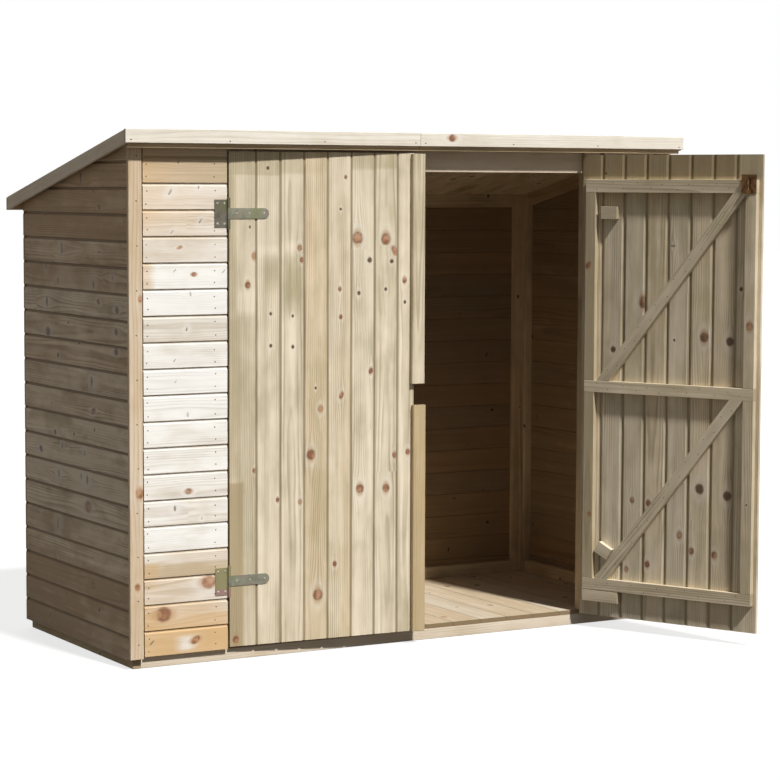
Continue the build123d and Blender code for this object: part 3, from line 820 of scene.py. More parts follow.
SIDE_TONES = [
    ((-0.4, -1.4), 0.0), ((-1.0, -1.3), 0.1), ((-1.0, -1.2), 0.1), ((0.3, 0.0), 0.1), ((0.7, 0.1), 0.1),
    ((0.9, 0.5), 0.0), ((0.8, 0.8), -0.1), ((1.0, 0.8), 0.0), ((0.9, 0.7), 0.0), ((0.7, 0.6), 0.1),
    ((0.3, 0.4), 0.0), ((0.3, 0.1), 0.2), ((0.1, 0.1), 0.1), ((0.5, 0.2), 0.0), ((0.1, -0.2), 0.1),
    ((0.0, 0.0), 0.2), ((-1.2, -1.0), 0.3), ((-1.1, -1.1), 0.3), ((-1.1, -1.1), 0.3), (-0.9, 0.2),
]
PANEL_KNOTS = [
    (-0.905, 1.694, 0.009, SPIKE, -0.3), (-0.9355, 1.593, 0.011, SPIKE, -0.5),
    (-0.831, 1.609, 0.007, SPIKE, -0.3), (-0.824, 1.498, 0.009, SPIKE, -0.6),
    (-0.929, 1.461, 0.008, SPIKE, -0.8), (-0.901, 1.409, 0.006, LIVE, -0.6),
    (-0.920, 1.332, 0.007, SPIKE, -0.8), (-0.849, 1.319, 0.007, LIVE), (-0.739, 1.327, 0.007, SPIKE, -0.8),
    (-0.862, 1.2545, 0.009, SPIKE, 0.1), (-0.876, 1.137, 0.008, SPIKE, -0.2),
    (-0.921, 1.033, 0.006, SPIKE, -0.8), (-0.918, 0.962, 0.006, SPIKE, -0.6), (-0.871, 0.590, 0.009, RINGED),
    (-0.9216, 0.535, 0.010, SPIKE), (-0.822, 0.496, 0.006, SPIKE), (-0.797, 0.277, 0.020, LIVE),
    (-0.965, 0.179, 0.022, RINGED), (-0.847, 0.083, 0.012, LIVE, -0.5), (-1.008, 0.087, 0.009, SPIKE, -0.9),
]
PANEL_TONES = [
    ((-0.6, -1.0, -0.5, -1.0), 0.95), ((-1.0, -0.6, -0.6, 0.3), (0.9, 0.8, 0.7, 0.15)),
    ((-0.2, 0.4, -0.6, -0.2), (0.2, 0.1)), ((-0.3, 0.0, 0.5, 0.2), 0.1), (0.85, 0.0), (0.65, 0.05),
    (0.85, 0.05), (0.8, 0.0), (0.8, 0.0), (1.0, 0.0), (1.2, 0.0), (0.9, 0.0), ((0.3, 0.45), -0.15), (1.2, 0.0),
    (1.1, 0.0), ((0.0, 0.4), 0.05), ((0.1, 0.0, 0.3, 0.1), (0.3, 0.1, 1.0, 0.0)),
    ((0.4, 0.0, 0.6, 0.2), (0.6, 0.1)), (-1.0, (0.5, -0.5)), (-1.0, (0.2, -0.3)),
]
PANEL_STAINS = [
    (0, 0.120, 0.180, 0.010, 0.060, 0.3, 0.2, 0.04), (1, -1.0, 0.050, -1.0, 0.060, -0.9, 0.9, 0.04),
    (1, 0.140, 0.330, 0.020, 0.040, -0.6, 0.8, 0.08), (2, -1.0, 0.040, 0.050, 1.0, -0.8, 0.3, 0.04),
    (3, -1.0, 0.062, -1.0, 0.050, -0.9, 0.45, 0.05), (3, 0.062, 1.0, -1.0, 0.045, -0.85, -0.3, 0.05),
    (14, -1.0, 0.034, -1.0, 1.0, 0.1, 0.5, 0.03),
]
STRIP_KNOTS = [((-1.046, -0.470, 1.240), 0.008, LIVE), ((-1.051, -0.470, 0.593), 0.013, LIVE),
               ((-1.061, -0.470, 0.278), 0.009, LIVE)]


class BIKESTORE_OT_walls(bpy.types.Operator):
    """Board the walls with shiplap"""

    bl_idname = "bikestore.walls"
    bl_label = "Board the walls"

    def execute(self, context):
        sizes = context.scene.board_sizes
        side_joint = sizes.side_first_joint
        clad("left_wall_boards", 11, ALONG_Y, ALONG_X, side_joint, tones=SIDE_TONES, marks=SIDE_KNOTS)
        clad("right_wall_boards", 12, ALONG_Y, -ALONG_X, side_joint)
        clad("back_wall_boards", 13, ALONG_X, -ALONG_Y, side_joint)
        front_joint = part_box("front_left_boards")[0].z + sizes.shiplap_cover
        clad("front_left_boards", 14, ALONG_X, ALONG_Y, front_joint, "panel_boards", PANEL_TONES, PANEL_KNOTS,
             4.0, PANEL_STAINS)
        clad("front_right_boards", 15, ALONG_X, ALONG_Y, front_joint, "panel_boards",
             PANEL_TONES[2:17] + PANEL_TONES[2:5], spacing=0.5)
        from_frame("corner_strips", "panel_boards", "board_timber", 16, 0.0012, (-0.8, -0.6), (0.1, 0.3),
                   STRIP_KNOTS, 9.0)
        return {"FINISHED"}


# ---- framing, base and floor ----
FRAMING = ("back_wall_rails", "back_wall_studs", "door_header", "front_wall_rails", "front_wall_studs",
           "left_wall_rails", "left_wall_studs", "right_wall_rails", "right_wall_studs",
           "eaves_battens_left", "eaves_battens_right")


class BIKESTORE_OT_framing(bpy.types.Operator):
    """Make the wall frames, the header and the eaves battens"""

    bl_idname = "bikestore.framing"
    bl_label = "Frame the walls"

    def execute(self, context):
        for index, node in enumerate(FRAMING):
            finish = "trim_boards" if node == "door_header" else "sawn_framing"
            from_frame(node, finish, "frame_timber", 30 + index, spacing=9.0 if "eaves" in node else 0.9)
        return {"FINISHED"}


def floor_section(width, first, last):
    """Section of a floor board: small bevels on top, tongue one side and groove the other."""
    gap, thick, arris, bevel_width, bevel_depth = 0.0008, 0.016, 0.001, 0.0022, 0.003
    tongue, tongue_top, tongue_foot, spare = 0.005, 0.0055, 0.0105, 0.0005
    section = [(0.0, arris), (arris, 0.0)] if first else [(gap, bevel_depth), (bevel_width, 0.0)]
    if last:
        section += [(width - arris, 0.0), (width, arris), (width, thick)]
    else:
        section += [(width - bevel_width, 0.0), (width - gap, bevel_depth), (width - gap, tongue_top),
                    (width + tongue, tongue_top), (width + tongue, tongue_foot), (width - gap, tongue_foot),
                    (width - gap, thick)]
    section.append((0.0 if first else gap, thick))
    if not first:
        section += [(gap, tongue_foot + spare), (tongue + spare, tongue_foot + spare),
                    (tongue + spare, tongue_top - spare), (gap, tongue_top - spare)]
    return section


class BIKESTORE_OT_floor(bpy.types.Operator):
    """Lay the bearers and the floor boards"""

    bl_idname = "bikestore.floor"
    bl_label = "Lay the floor"

    def execute(self, context):
        low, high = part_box("floor_boards")
        length = high.y - low.y
        timber = Timber("floor_boards_laid", 50)
        cover = context.scene.board_sizes.floor_cover
        for left, right, first, last in row_of_boards(low.x, high.x, cover, 0.003):
            origin = Vector((left, low.y, high.z))
            board = extruded(floor_section(right - left, first, last), origin, ALONG_Y, ALONG_X, -UP, length)
            knots = scattered_knots(timber.chance, length, right - left, (), 0.4)
            # the joints between floor boards are darkened: painted shade in the gaps, with some dirt
            timber.add(board, origin, ALONG_Y, ALONG_X, -UP, knots, timber.chance.uniform(-0.85, -0.25),
                       timber.chance.uniform(-0.35, -0.05), (), (0.0008, 0.001, 2.0), ends=1.9)
        timber.fitted("trim_boards", "base_timber", "root", "floor_boards")
        from_frame("floor_bearers", "trim_boards", "base_timber", 51, 0.0015, (-0.30, -0.05), (0.05, 0.15), (),
                   9.0)
        from_frame("base_side_rails", "sawn_framing", "base_timber", 52, 0.0015, (-0.2, 0.4), (-0.1, 0.3), (),
                   1.5)
        return {"FINISHED"}


# ---- the roof ----
def matched_section(width, vee_width, vee_depth, first, last, inner_width=None):
    """Section of a matched board: a V on both faces, groove one side and tongue the other."""
    gap, half, inner = vee_width * 0.12, vee_width / 2, (inner_width or vee_width) / 2
    front, back = BOARD * 0.35, BOARD * 0.65
    tongue, groove, spare = 0.0050, 0.0062, 0.0001
    if first:
        section = [(0.0, ARRIS), (ARRIS, 0.0)]
    else:
        section = [(gap, vee_depth), (half, 0.0)]
    if last:
        section += [(width - ARRIS, 0.0), (width, ARRIS), (width, BOARD - ARRIS), (width - ARRIS, BOARD)]
    else:
        section += [(width - half, 0.0), (width - gap, vee_depth), (width - gap, front),
                    (width + tongue, front), (width + tongue, back), (width - gap, back),
                    (width - gap, BOARD - vee_depth), (width - inner, BOARD)]
    if first:
        section += [(ARRIS, BOARD), (0.0, BOARD - ARRIS)]
    else:
        section += [(inner, BOARD), (gap, BOARD - vee_depth), (gap, back + spare),
                    (groove, back + spare), (groove, front - spare), (gap, front - spare)]
    return section


def roof_half(node, seed):
    """Boards half the roof, down the slope, with their Vs underneath."""
    sizes = bpy.context.scene.board_sizes
    low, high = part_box(node)
    run = Vector((0, 1, -roof_fall(node, BOARD)))
    length = high.y - low.y
    timber = Timber(node + "_laid", seed)
    vee = (sizes.roof_vee_width, sizes.roof_vee_depth)
    for left, right, first, last in row_of_boards(low.x, high.x, sizes.roof_cover, sizes.roof_vee_width):
        origin = Vector((left, low.y, high.z - BOARD))
        board = extruded(matched_section(right - left, *vee, first, last), origin, run, ALONG_X, UP, length)
        knots = scattered_knots(timber.chance, length, right - left, (), 0.4)
        # the Vs between roof boards are darkened: painted shade in the grooves, with some dirt
        timber.add(board, origin, run.normalized(), ALONG_X, UP, knots, timber.chance.uniform(0.1, 0.7),
                   timber.chance.uniform(-0.2, 0.3), (), (0.002, 0.002, 1.2))
    timber.fitted("sawn_framing", "frame_timber", "root", node)


def felt_sheet():
    """The felt, in two widths that lap across the slope."""
    low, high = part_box("roof_felt")
    thick, lap, columns = 0.002, 0.0018, 60
    fall = roof_fall("roof_felt", thick)
    lap_front, lap_back = low.y + 0.72, low.y + 0.79

    def top(y):
        return high.z - fall * (y - low.y)

    profile = [
        (low.y, top(low.y) - thick), (low.y, top(low.y) - 0.0004), (low.y + 0.0006, top(low.y) - 0.0001),
        (lap_front - 0.001, top(lap_front)), (lap_front, top(lap_front) + lap),
        (lap_back, top(lap_back) + lap * 0.35), (lap_back + 0.01, top(lap_back + 0.01)),
        (high.y, top(high.y)), (high.y, top(high.y) - thick),
    ]
    piece = bmesh.new()
    rows = []
    for column in range(columns + 1):
        x = low.x + (high.x - low.x) * column / columns
        rows.append([piece.verts.new((x, y, z)) for y, z in profile])
    skinned(piece, rows)
    piece.faces.new(rows[0])
    piece.faces.new(rows[-1])
    bmesh.ops.recalc_face_normals(piece, faces=piece.faces)
    fitted(meshed(piece, "felt_sheet"), "roof_felt", "roof_felt", "root", "roof_felt")


class BIKESTORE_OT_roof(bpy.types.Operator):
    """Board, trim and felt the roof"""

    bl_idname = "bikestore.roof"
    bl_label = "Cover the roof"

    def execute(self, context):
        roof_half("roof_boards_left", 60)
        roof_half("roof_boards_right", 61)
        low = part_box("front_fascia_right")[0]
        fascia_knot = ((0.128, low.y, low.z + 0.030), 0.011, LIVE)
        for seed, node, marks in ((62, "front_fascia_left", ()), (63, "front_fascia_right", (fascia_knot,)),
                                  (64, "back_fascia", ())):
            from_frame(node, "trim_boards", "board_timber", seed, 0.0012, (0.5, 0.75), (-0.15, 0.0), marks, 9.0)
        from_frame("barge_boards", "trim_boards", "board_timber", 65, 0.0012, (-0.25, -0.05), (0.05, 0.2), (),
                   9.0)
        felt_sheet()
        return {"FINISHED"}


# ---- the doors ----
class Leaf:
    """One door, in its own terms: s from the hinge axis, n into the store, z up."""

    def __init__(self, side, hand, swing):
        joint = next(j for j in frame["joints"] if j["name"] == side + "_door_hinge")
        self.side = side
        self.hand = hand
        self.body = side + "_door"
        self.axis = Vector((joint["pos_m"][0], joint["pos_m"][1], 0))
        turn = math.radians(swing)
        self.along = Vector((math.cos(turn), math.sin(turn), 0)) * hand
        self.inward = Vector((-math.sin(turn), math.cos(turn), 0))

    def place(self, s, n, z):
        return self.axis + self.along * s + self.inward * (AXIS_TO_FACE + n) + UP * z


def both_leaves():
    """The left door, which stands all but shut, and the right one, which is thrown open."""
    return Leaf("left", 1, -2.5), Leaf("right", -1, 115.0)


def leaf_boards(leaf, seed, tones, marks, stains_and_shade):
    """The matched boards of one door."""
    sizes = bpy.context.scene.board_sizes
    node = leaf.side + "_door_boards"
    low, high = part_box(node)
    height = high.z - low.z
    corners = [(vertex.co - leaf.axis).dot(leaf.along) for vertex in frame["nodes"][node].data.vertices]
    near, far = min(corners), max(corners)
    wide, cover, vee = sizes.wide_board, sizes.door_cover, (sizes.door_vee_width, sizes.door_vee_depth)
    whole = int((far - near - wide) / cover + 0.001)
    opening = wide if leaf.side == "left" else far - near - wide - whole * cover
    timber = Timber(leaf.side + "_door_matched_boards", seed)
    for index, (start, end, first, last) in enumerate(row_of_boards(near, far, cover, vee[0], opening)):
        origin = leaf.place(start, 0, low.z)
        section = matched_section(end - start, *vee, first, last, sizes.door_inner_vee)
        board = extruded(section, origin, UP, leaf.along, leaf.inward, height)
        own = [(mark[1] - low.z, mark[0] - start) + mark[2:] for mark in marks if start < mark[0] < end]
        knots = scattered_knots(timber.chance, height, end - start, own, 6.0)
        tone, warm = tones[index % len(tones)]
        patches = [(stain[1] - low.z, stain[2] - low.z) + stain[3:] for stain in stains_and_shade if stain[0] == index]
        # the Vs between door boards are darkened: painted shade in the grooves, with some dirt
        timber.add(board, origin, UP, leaf.along, leaf.inward, knots, tone, warm, patches, (0.003, 0.003, 1.4))
    timber.fitted("door_boards", "board_timber", leaf.body, node)


def darker_top_band(board, height, tone, warmth, softness):
    """A darker band over the whole width of a board, from a height to its top: a stain on the left door's face,
    painted shade over a stain on the right door's inner face.
    """
    return board, height, 3.0, -1.0, 1.0, tone, warmth, softness


# knots of a door are (from the hinge, height, radius, kind, lean); its patches are (board, from and to height,
# from and to across the board, tone, warmth, softness), each a stain or, on the right door's inner face,
# painted shade
LEFT_KNOTS = [
    (0.072, 1.280, 0.009), (0.096, 1.378, 0.009), (0.080, 1.476, 0.004), (0.095, 0.647, 0.006),
    (0.026, 0.070, 0.010), (0.147, 1.675, 0.005, DEAD), (0.157, 1.181, 0.005, DEAD),
    (0.157, 1.072, 0.005, DEAD), (0.183, 0.542, 0.006), (0.266, 1.404, 0.008), (0.274, 1.363, 0.007),
    (0.240, 1.172, 0.004, DEAD), (0.240, 1.066, 0.005, DEAD), (0.268, 0.530, 0.007), (0.309, 0.692, 0.014),
    (0.336, 0.202, 0.016), (0.327, 0.922, 0.004, DEAD), (0.346, 0.849, 0.009), (0.419, 1.261, 0.006),
    (0.423, 1.165, 0.006), (0.401, 0.306, 0.007), (0.422, 1.536, 0.004, DEAD), (0.441, 1.646, 0.005),
    (0.487, 1.436, 0.017), (0.492, 1.246, 0.006, DEAD), (0.534, 1.360, 0.008, DEAD), (0.498, 0.563, 0.013),
    (0.597, 1.432, 0.016), (0.633, 1.390, 0.012, LIVE, 0.6), (0.620, 1.355, 0.006, DEAD),
    (0.597, 1.258, 0.005, DEAD), (0.600, 0.561, 0.012), (0.634, 0.676, 0.008), (0.671, 1.288, 0.008),
    (0.672, 1.212, 0.005, DEAD), (0.686, 0.684, 0.008),
]
RIGHT_KNOTS = [
    (0.3765, 1.406, 0.010, SPIKE), (0.2610, 1.203, 0.019, RINGED), (0.5055, 1.086, 0.015, RINGED),
    (0.1355, 1.028, 0.009, DEAD), (0.6075, 1.073, 0.013, DEAD), (0.3855, 1.071, 0.004, DEAD),
    (0.6485, 1.260, 0.006, DEAD), (0.4945, 0.543, 0.015, DEAD), (0.6055, 0.526, 0.014, DEAD),
    (0.4165, 0.371, 0.010), (0.4655, 0.318, 0.009), (0.5575, 0.311, 0.010), (0.2215, 0.483, 0.008),
    (0.2885, 0.477, 0.009), (0.2005, 0.228, 0.008), (0.2865, 0.254, 0.009),
]
LEFT_STAINS = [
    darker_top_band(0, 1.652, -0.75, -0.3, 0.006), darker_top_band(1, 1.650, -0.65, -0.2, 0.008),
    darker_top_band(2, 1.656, -0.55, -0.2, 0.012), darker_top_band(3, 1.660, -0.3, 0.3, 0.02),
    darker_top_band(5, 1.672, -0.4, -0.3, 0.012), darker_top_band(6, 1.676, -0.5, -0.3, 0.012),
    (0, 1.180, 1.652, -1.0, 0.024, -1.0, -0.2, 0.05), (0, 0.610, 1.180, -1.0, 0.038, -1.0, -0.15, 0.05),
    (0, -1.0, 0.610, -1.0, 0.052, -1.3, 0.15, 0.012), (0, 1.185, 1.262, 0.035, 1.0, 0.9, -0.1, 0.03),
    (1, 1.375, 1.412, 0.006, 0.082, 0.9, 0.0, 0.02), (2, 1.380, 1.420, 0.0, 0.060, 0.9, 0.0, 0.03),
    (2, 1.200, 1.370, 0.018, 0.078, -0.6, -0.5, 0.09), (1, 1.270, 1.365, 0.030, 0.085, -0.35, -0.4, 0.06),
]
# the right door's inner boards darken from under the top ledge up: painted shade under the ledge, and painted
# shade over a stain above it
RIGHT_STAINS_AND_SHADE = ([darker_top_band(board, 1.560, -1.05, 0.2, 0.06) for board in range(8)]
                + [darker_top_band(board, 1.650, -1.8, 0.0, 0.01) for board in range(7)]
                + [darker_top_band(7, 1.650, -1.2, -0.1, 0.01)])
LEFT_TONES = [
    ((-0.1, 0.0), -0.1), ((0.6, 0.3), (0.1, -0.15)), ((0.5, 0.3), (0.1, -0.2)), ((0.15, 0.15), (0.35, 0.35)),
    ((0.35, 0.2, 0.2, 0.25), (0.1, 0.0, 0.5, 0.1)), ((0.6, 0.5), (0.1, -0.25)), ((0.3, 0.35), (0.0, -0.1)),
    ((0.5, 0.4), (0.05, 0.0)),
]
RIGHT_TONES = [
    ((0.3, -0.4), 0.1), ((0.7, -0.1), 0.0), ((0.4, -0.2), -0.2), ((0.6, 0.0), 0.2), ((0.6, -0.1), -0.1),
    ((0.9, 0.0), 0.2), ((0.4, 0.0), 0.2), ((0.5, 0.1), 0.1),
]
PART_TINTS = {  # (tone, warmth) of each ledge and stile, lowest first
    "ledges": ((0.15, 0.15), (0.0, 0.15), (-0.35, 0.0)),
    # the first stile, at the hinge, is darker: painted shade, for the shade it stands in on the open door
    "stiles": ((-1.1, 0.0), (-0.25, 0.05)),
}


class BIKESTORE_OT_doors(bpy.types.Operator):
    """Make the two framed, ledged and braced doors"""

    bl_idname = "bikestore.doors"
    bl_label = "Make the doors"

    def execute(self, context):
        left, right = both_leaves()
        leaf_boards(left, 70, LEFT_TONES, LEFT_KNOTS, LEFT_STAINS)
        leaf_boards(right, 71, RIGHT_TONES, RIGHT_KNOTS, RIGHT_STAINS_AND_SHADE)
        right_marks = ((right.place(0.6925, 0.030, 1.130), 0.012, LIVE),
                       (right.place(0.053, 0.030, 0.421), 0.007, LIVE))
        seed = 72
        for leaf, marks in ((left, ()), (right, right_marks)):
            for part in ("braces", "hinge_blocks", "ledges", "stiles"):
                from_frame(f"{leaf.side}_door_{part}", "door_boards", "frame_timber", seed, 0.001,
                           (-0.25, 0.05), (-0.2, 0.1), marks, 9.0, PART_TINTS.get(part, ()))
                seed += 1
        from_frame("right_door_packer", "door_boards", "frame_timber", seed, 0.001)
        from_frame("left_door_cover_strips", "door_boards", "board_timber", seed + 1, 0.0015,
                   spacing=9.0, tints=((-1.05, 0.45), (-0.30, -0.05)))
        return {"FINISHED"}


# ---- hinges, bolt, nails and screws ----
def softened(node, finish, slot, width):
    """Metalwork to a node's own shape, with its edges taken off."""
    piece = cleaned(node)
    eased(piece, width)
    fitted(meshed(piece, node + "_metal"), finish, slot, frame["nodes"][node]["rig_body"], node)


def domed(piece, hub, loops):
    """Faces from the hub out to the last loop of corners."""
    for step in range(len(loops[0])):
        after = (step + 1) % len(loops[0])
        piece.faces.new((hub, loops[0][step], loops[0][after]))
        for inner, outer in zip(loops, loops[1:]):
            piece.faces.new((inner[step], outer[step], outer[after], inner[after]))


def screw_head(piece, centre, outward, radius, chance):
    """A round screw head with a cross recess."""
    side = outward.orthogonal().normalized()
    other = outward.cross(side)
    turn = chance.uniform(0, math.pi / 2)
    rings = ((0.20, 0.42, True), (0.55, 0.42, True), (0.78, 0.30, False), (1.0, 0.02, False),
             (1.0, -0.2, False))
    hub = piece.verts.new(centre + outward * (radius * 0.10))
    loops = []
    for share, rise, recessed in rings:
        loop = []
        for step in range(16):
            angle = turn + 2 * math.pi * step / 16
            height = rise - (0.36 if recessed and step % 4 == 0 else 0.0)
            offset = side * math.cos(angle) + other * math.sin(angle)
            loop.append(piece.verts.new(centre + offset * (radius * share) + outward * (radius * height)))
        loops.append(loop)
    domed(piece, hub, loops)


def nail_head(piece, centre, outward, radius, chance):
    """A flat nail head, driven a little unevenly."""
    lean = outward + Vector([chance.uniform(-0.08, 0.08) for _ in range(3)])
    lean = (lean / lean.dot(outward)).normalized()
    side = lean.orthogonal().normalized()
    other = lean.cross(side)
    hub = piece.verts.new(centre + lean * 0.0006)
    around = [side * math.cos(math.tau * step / 10) + other * math.sin(math.tau * step / 10)
              for step in range(10)]
    domed(piece, hub, [[piece.verts.new(centre + lean * rise + offset * (radius * share)) for offset in around]
                       for share, rise in ((0.72, 0.0006), (1.0, 0.0002), (1.0, -0.0006))])


def fixings(name, places, head, radius, finish, body, seed):
    """Screw or nail heads at (point, way out) places, as one object."""
    chance = random.Random(seed)
    piece = bmesh.new()
    for point, outward in places:
        head(piece, point, outward, radius, chance)
    bmesh.ops.recalc_face_normals(piece, faces=piece.faces)
    fitted(meshed(piece, name), finish, "galvanised_steel", body)


HINGE_HEIGHTS = (0.274, 1.522)
BUTT_SCREWS = ((-0.014, 0.034), (-0.040, 0.034), (-0.014, -0.034), (-0.040, -0.034))  # from the hinge's middle
STRAP_SCREWS = (0.030, 0.078, 0.133)  # along the strap from the hinge's axis


class BIKESTORE_OT_hinges(bpy.types.Operator):
    """Hang the doors on tee hinges and fit the bolt"""

    bl_idname = "bikestore.hinges"
    bl_label = "Hang the doors"

    def execute(self, context):
        for leaf in both_leaves():
            softened(leaf.side + "_hinge_butts", "old_zinc", "galvanised_steel", 0.0004)
            softened(leaf.side + "_door_hinge_straps", "zinc", "galvanised_steel", 0.0005)
            butts, straps = [], []
            for height in HINGE_HEIGHTS:
                for ds, dz in BUTT_SCREWS:
                    point = leaf.axis + ALONG_X * (leaf.hand * ds) + ALONG_Y * 0.004 + UP * (height + dz)
                    butts.append((point, -ALONG_Y))
                for s in STRAP_SCREWS:
                    straps.append((leaf.place(s, -0.0025, height), -leaf.inward))
            fixings(leaf.side + "_butt_screws", butts, screw_head, 0.0042, "screw_heads", "root",
                    90 + leaf.hand)
            fixings(leaf.side + "_strap_screws", straps, screw_head, 0.0044, "screw_heads", leaf.body,
                    94 + leaf.hand)
        softened("right_door_bolt", "brown_brass", "brass_bolt", 0.0004)
        return {"FINISHED"}


def astray(chance, point, reach):
    """A point moved by chance, up to its reach on each axis."""
    return Vector([place + chance.uniform(-far, far) if far else place for place, far in zip(point, reach)])


def board_rows(first, cover, top):
    """The heights of the shiplap boards' lower and upper nails."""
    rows = []
    while first + cover * 0.9 < top:
        rows.append((first + cover * 0.22, first + cover * 0.68))
        first += cover
    return rows


def nail_walls(sizes):
    """Nails through the wall boards into the studs, and through the strips and fascias."""
    chance = random.Random(120)
    places = []
    under, way_up = roof_slope()
    cover = sizes.shiplap_cover

    clear_of_roof, stud_lines = 0.012, (-1.024, -0.352, 0.352, 1.024)

    def under_roof(point):
        return (point - under).dot(way_up) < -clear_of_roof

    def drive(point, reach, out, fits=None):
        point = astray(chance, point, reach)
        if fits is None or fits(point):
            places.append((point, out))

    left_low, left_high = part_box("front_left_boards")
    right_low, right_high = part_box("front_right_boards")
    columns = (left_low.x + 0.014, left_high.x - 0.046, right_low.x + 0.046, right_high.x - 0.014)
    for pair in board_rows(left_low.z, cover, left_high.z):
        for column in columns:
            for height in pair:
                drive((column, left_low.y + SUNK, height), (0.003, 0, 0.004), -ALONG_Y)
    side_low, side_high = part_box("left_wall_boards")
    right_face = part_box("right_wall_boards")[1].x
    back_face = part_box("back_wall_boards")[1].y
    for pair in board_rows(sizes.side_first_joint, cover, side_high.z):
        for y in (side_low.y + 0.022, side_high.y - 0.030):
            for height in pair:
                for x, out in ((side_low.x + SUNK, -ALONG_X), (right_face - SUNK, ALONG_X)):
                    drive((x, y, height), (0, 0.003, 0.004), out, under_roof)
        for x in stud_lines:
            for height in pair:
                drive((x, back_face - SUNK, height), (0.004, 0, 0.004), ALONG_Y, under_roof)
    strip_low, strip_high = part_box("corner_strips")
    for x in (strip_low.x + 0.028, strip_high.x - 0.028):
        for step in range(12):
            drive((x, strip_low.y, strip_low.z + 0.05 + step * 0.148), (0.003, 0, 0), -ALONG_Y,
                  lambda point: point.z < strip_high.z - 0.02)
    for node, out in (("front_fascia_left", -ALONG_Y), ("front_fascia_right", -ALONG_Y),
                      ("back_fascia", ALONG_Y)):
        low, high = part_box(node)
        count = int((high.x - low.x) / 0.36)
        for step in range(count + 1):
            x = low.x + 0.02 + (high.x - low.x - 0.04) * step / count
            drive((x, high.y - 0.0009 if out.y > 0 else low.y, low.z + 0.010), (0, 0, 0.002), out)
    fixings("wall_nails", places, nail_head, 0.0024, "nail_heads", "root", 121)


def nail_floor(cover):
    """Two nails through every floor board into each bearer."""
    chance = random.Random(130)
    low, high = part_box("floor_boards")
    places = []
    for index in range(int((high.x - low.x) / cover)):
        for y in (low.y + 0.022, 0.0, high.y - 0.022):
            for share in (0.25, 0.75):
                point = (low.x + cover * (index + share), y, high.z - 0.0006)
                places.append((astray(chance, point, (0.004, 0.006, 0)), UP))
    fixings("floor_nails", places, nail_head, 0.0026, "nail_heads", "root", 131)


def nail_door(leaf):
    """Nails through the ledges and braces into the boards."""
    chance = random.Random(140 if leaf.side == "left" else 150)
    places = []
    for part in ("ledges", "braces"):
        for piece in separate_pieces(cleaned(f"{leaf.side}_door_{part}")):
            origin, run, across, deep, size = lie_of(piece)
            piece.free()
            if abs(deep.dot(leaf.inward)) < 0.7:
                continue
            face = origin if deep.dot(leaf.inward) < 0 else origin + deep * size[2]
            count = int(size[0] / 0.052)
            for step in range(1, count):
                l = size[0] * step / count + chance.uniform(-0.008, 0.008)
                w = size[1] * (0.5 + (0.2 if step % 2 else -0.2) + chance.uniform(-0.08, 0.08))
                places.append((face + run * l + across * w - leaf.inward * 0.0005, leaf.inward))
    fixings(leaf.side + "_door_nails", places, nail_head, 0.0022, "nail_heads", leaf.body, 141)


class BIKESTORE_OT_nails(bpy.types.Operator):
    """Nail the boards, the doors, the strips and the fascias"""

    bl_idname = "bikestore.nails"
    bl_label = "Nail it together"

    def execute(self, context):
        sizes = context.scene.board_sizes
        nail_walls(sizes)
        nail_floor(sizes.floor_cover)
        for leaf in both_leaves():
            nail_door(leaf)
        return {"FINISHED"}


# ---- the stage ----
def shine(name, energy, bearing, height, spread, tint):
    """A distant lamp; its bearing is measured to the right of straight ahead."""
    lamp = bpy.data.lights.new(name, "SUN")
    lamp.energy = energy
    lamp.angle = math.radians(spread)
    lamp.color = tint
    sun = bpy.data.objects.new(name, lamp)
    towards = Vector((math.sin(bearing) * math.cos(height), -math.cos(bearing) * math.cos(height),
                      math.sin(height)))
    sun.rotation_euler = towards.to_track_quat("Z", "Y").to_euler()
    sun.location = towards * 6
    bpy.context.scene.collection.objects.link(sun)


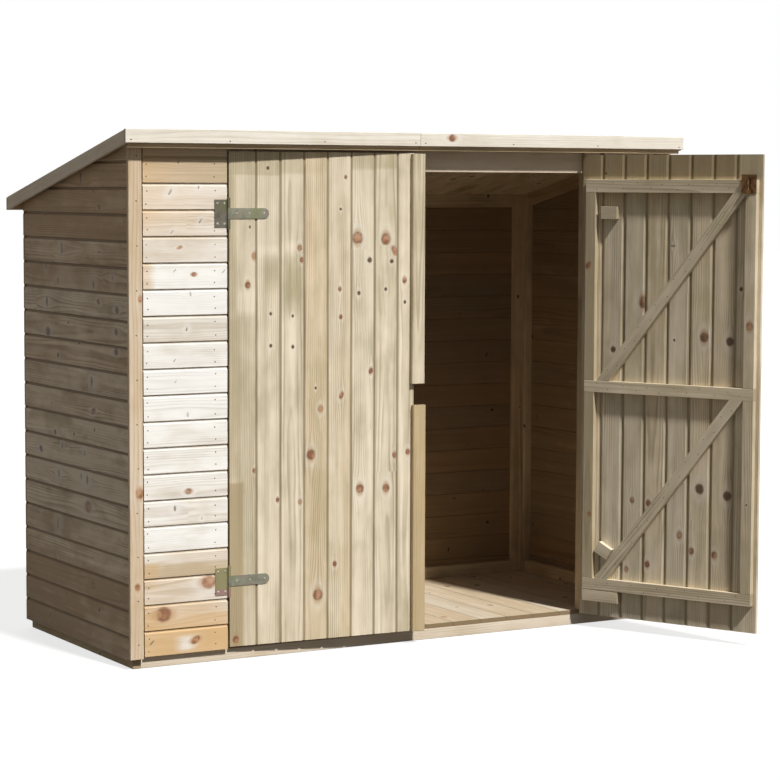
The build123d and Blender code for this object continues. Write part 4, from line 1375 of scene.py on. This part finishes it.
class BIKESTORE_OT_stage(bpy.types.Operator):
    """Set up the ground, the light and the camera"""

    bl_idname = "bikestore.stage"
    bl_label = "Set the stage"

    def execute(self, context):
        scene = context.scene
        light = scene.stage_light
        mesh = bpy.data.meshes.new("ground")
        half = 40.0
        mesh.from_pydata([(-half, -half, 0), (half, -half, 0), (half, half, 0), (-half, half, 0)], [],
                         [(0, 1, 2, 3)])
        mesh.materials.append(plain_ground("ground", tuple(light.ground_colour)))
        ground = bpy.data.objects.new("ground", mesh)
        scene.collection.objects.link(ground)

        shine("sun", light.sun_strength, light.sun_bearing, light.sun_height, 4, (1.0, 0.985, 0.955))
        shine("fill", light.fill_strength, math.radians(155), math.radians(38), 30, (1.0, 0.99, 0.97))
        scene.world = open_sky("sky", light.sky_strength)

        camera = bpy.data.cameras.new("camera")
        camera.sensor_width = 36.0
        camera.lens = 113.72
        camera.clip_end = 100.0
        eye = bpy.data.objects.new("camera", camera)
        stand, turn, dip, tilt = (-4.380, -7.9415, 1.617), -0.52095, 0.08275, 0.0035
        eye.matrix_world = (Matrix.Translation(stand) @ Matrix.Rotation(turn, 4, "Z")
                            @ Matrix.Rotation(math.pi / 2 - dip, 4, "X") @ Matrix.Rotation(tilt, 4, "Z"))
        scene.collection.objects.link(eye)
        scene.camera = eye
        scene.view_settings.view_transform = "Standard"
        return {"FINISHED"}


class BIKESTORE_PT_panel(bpy.types.Panel):
    """Lists what makes the bike store"""

    bl_idname = "BIKESTORE_PT_panel"
    bl_label = "Bike store"
    bl_space_type = "VIEW_3D"
    bl_region_type = "UI"
    bl_category = "Bike store"

    def draw(self, context):
        column = self.layout.column()
        for operator in OPERATORS:
            column.operator(operator.bl_idname)
        for attribute in GROUPS:
            group = getattr(context.scene, attribute)
            box = self.layout.box()
            for name in group.__annotations__:
                box.prop(group, name)


GROUPS = {"board_sizes": BoardSizes, "timber_colours": TimberColours, "stage_light": StageLight}
OPERATORS = (BIKESTORE_OT_walls, BIKESTORE_OT_framing, BIKESTORE_OT_floor, BIKESTORE_OT_roof,
             BIKESTORE_OT_doors, BIKESTORE_OT_hinges, BIKESTORE_OT_nails, BIKESTORE_OT_stage)
CLASSES = (*GROUPS.values(), *OPERATORS, BIKESTORE_PT_panel)


def register():
    for kind in CLASSES:
        bpy.utils.register_class(kind)
    for attribute, group in GROUPS.items():
        setattr(bpy.types.Scene, attribute, PointerProperty(type=group))


def unregister():
    for attribute in GROUPS:
        delattr(bpy.types.Scene, attribute)
    for kind in reversed(CLASSES):
        bpy.utils.unregister_class(kind)


def main():
    register()
    bpy.ops.bikestore.walls()
    bpy.ops.bikestore.framing()
    bpy.ops.bikestore.floor()
    bpy.ops.bikestore.roof()
    bpy.ops.bikestore.doors()
    bpy.ops.bikestore.hinges()
    bpy.ops.bikestore.nails()
    bpy.ops.bikestore.stage()


if __name__ == "__main__":
    main()
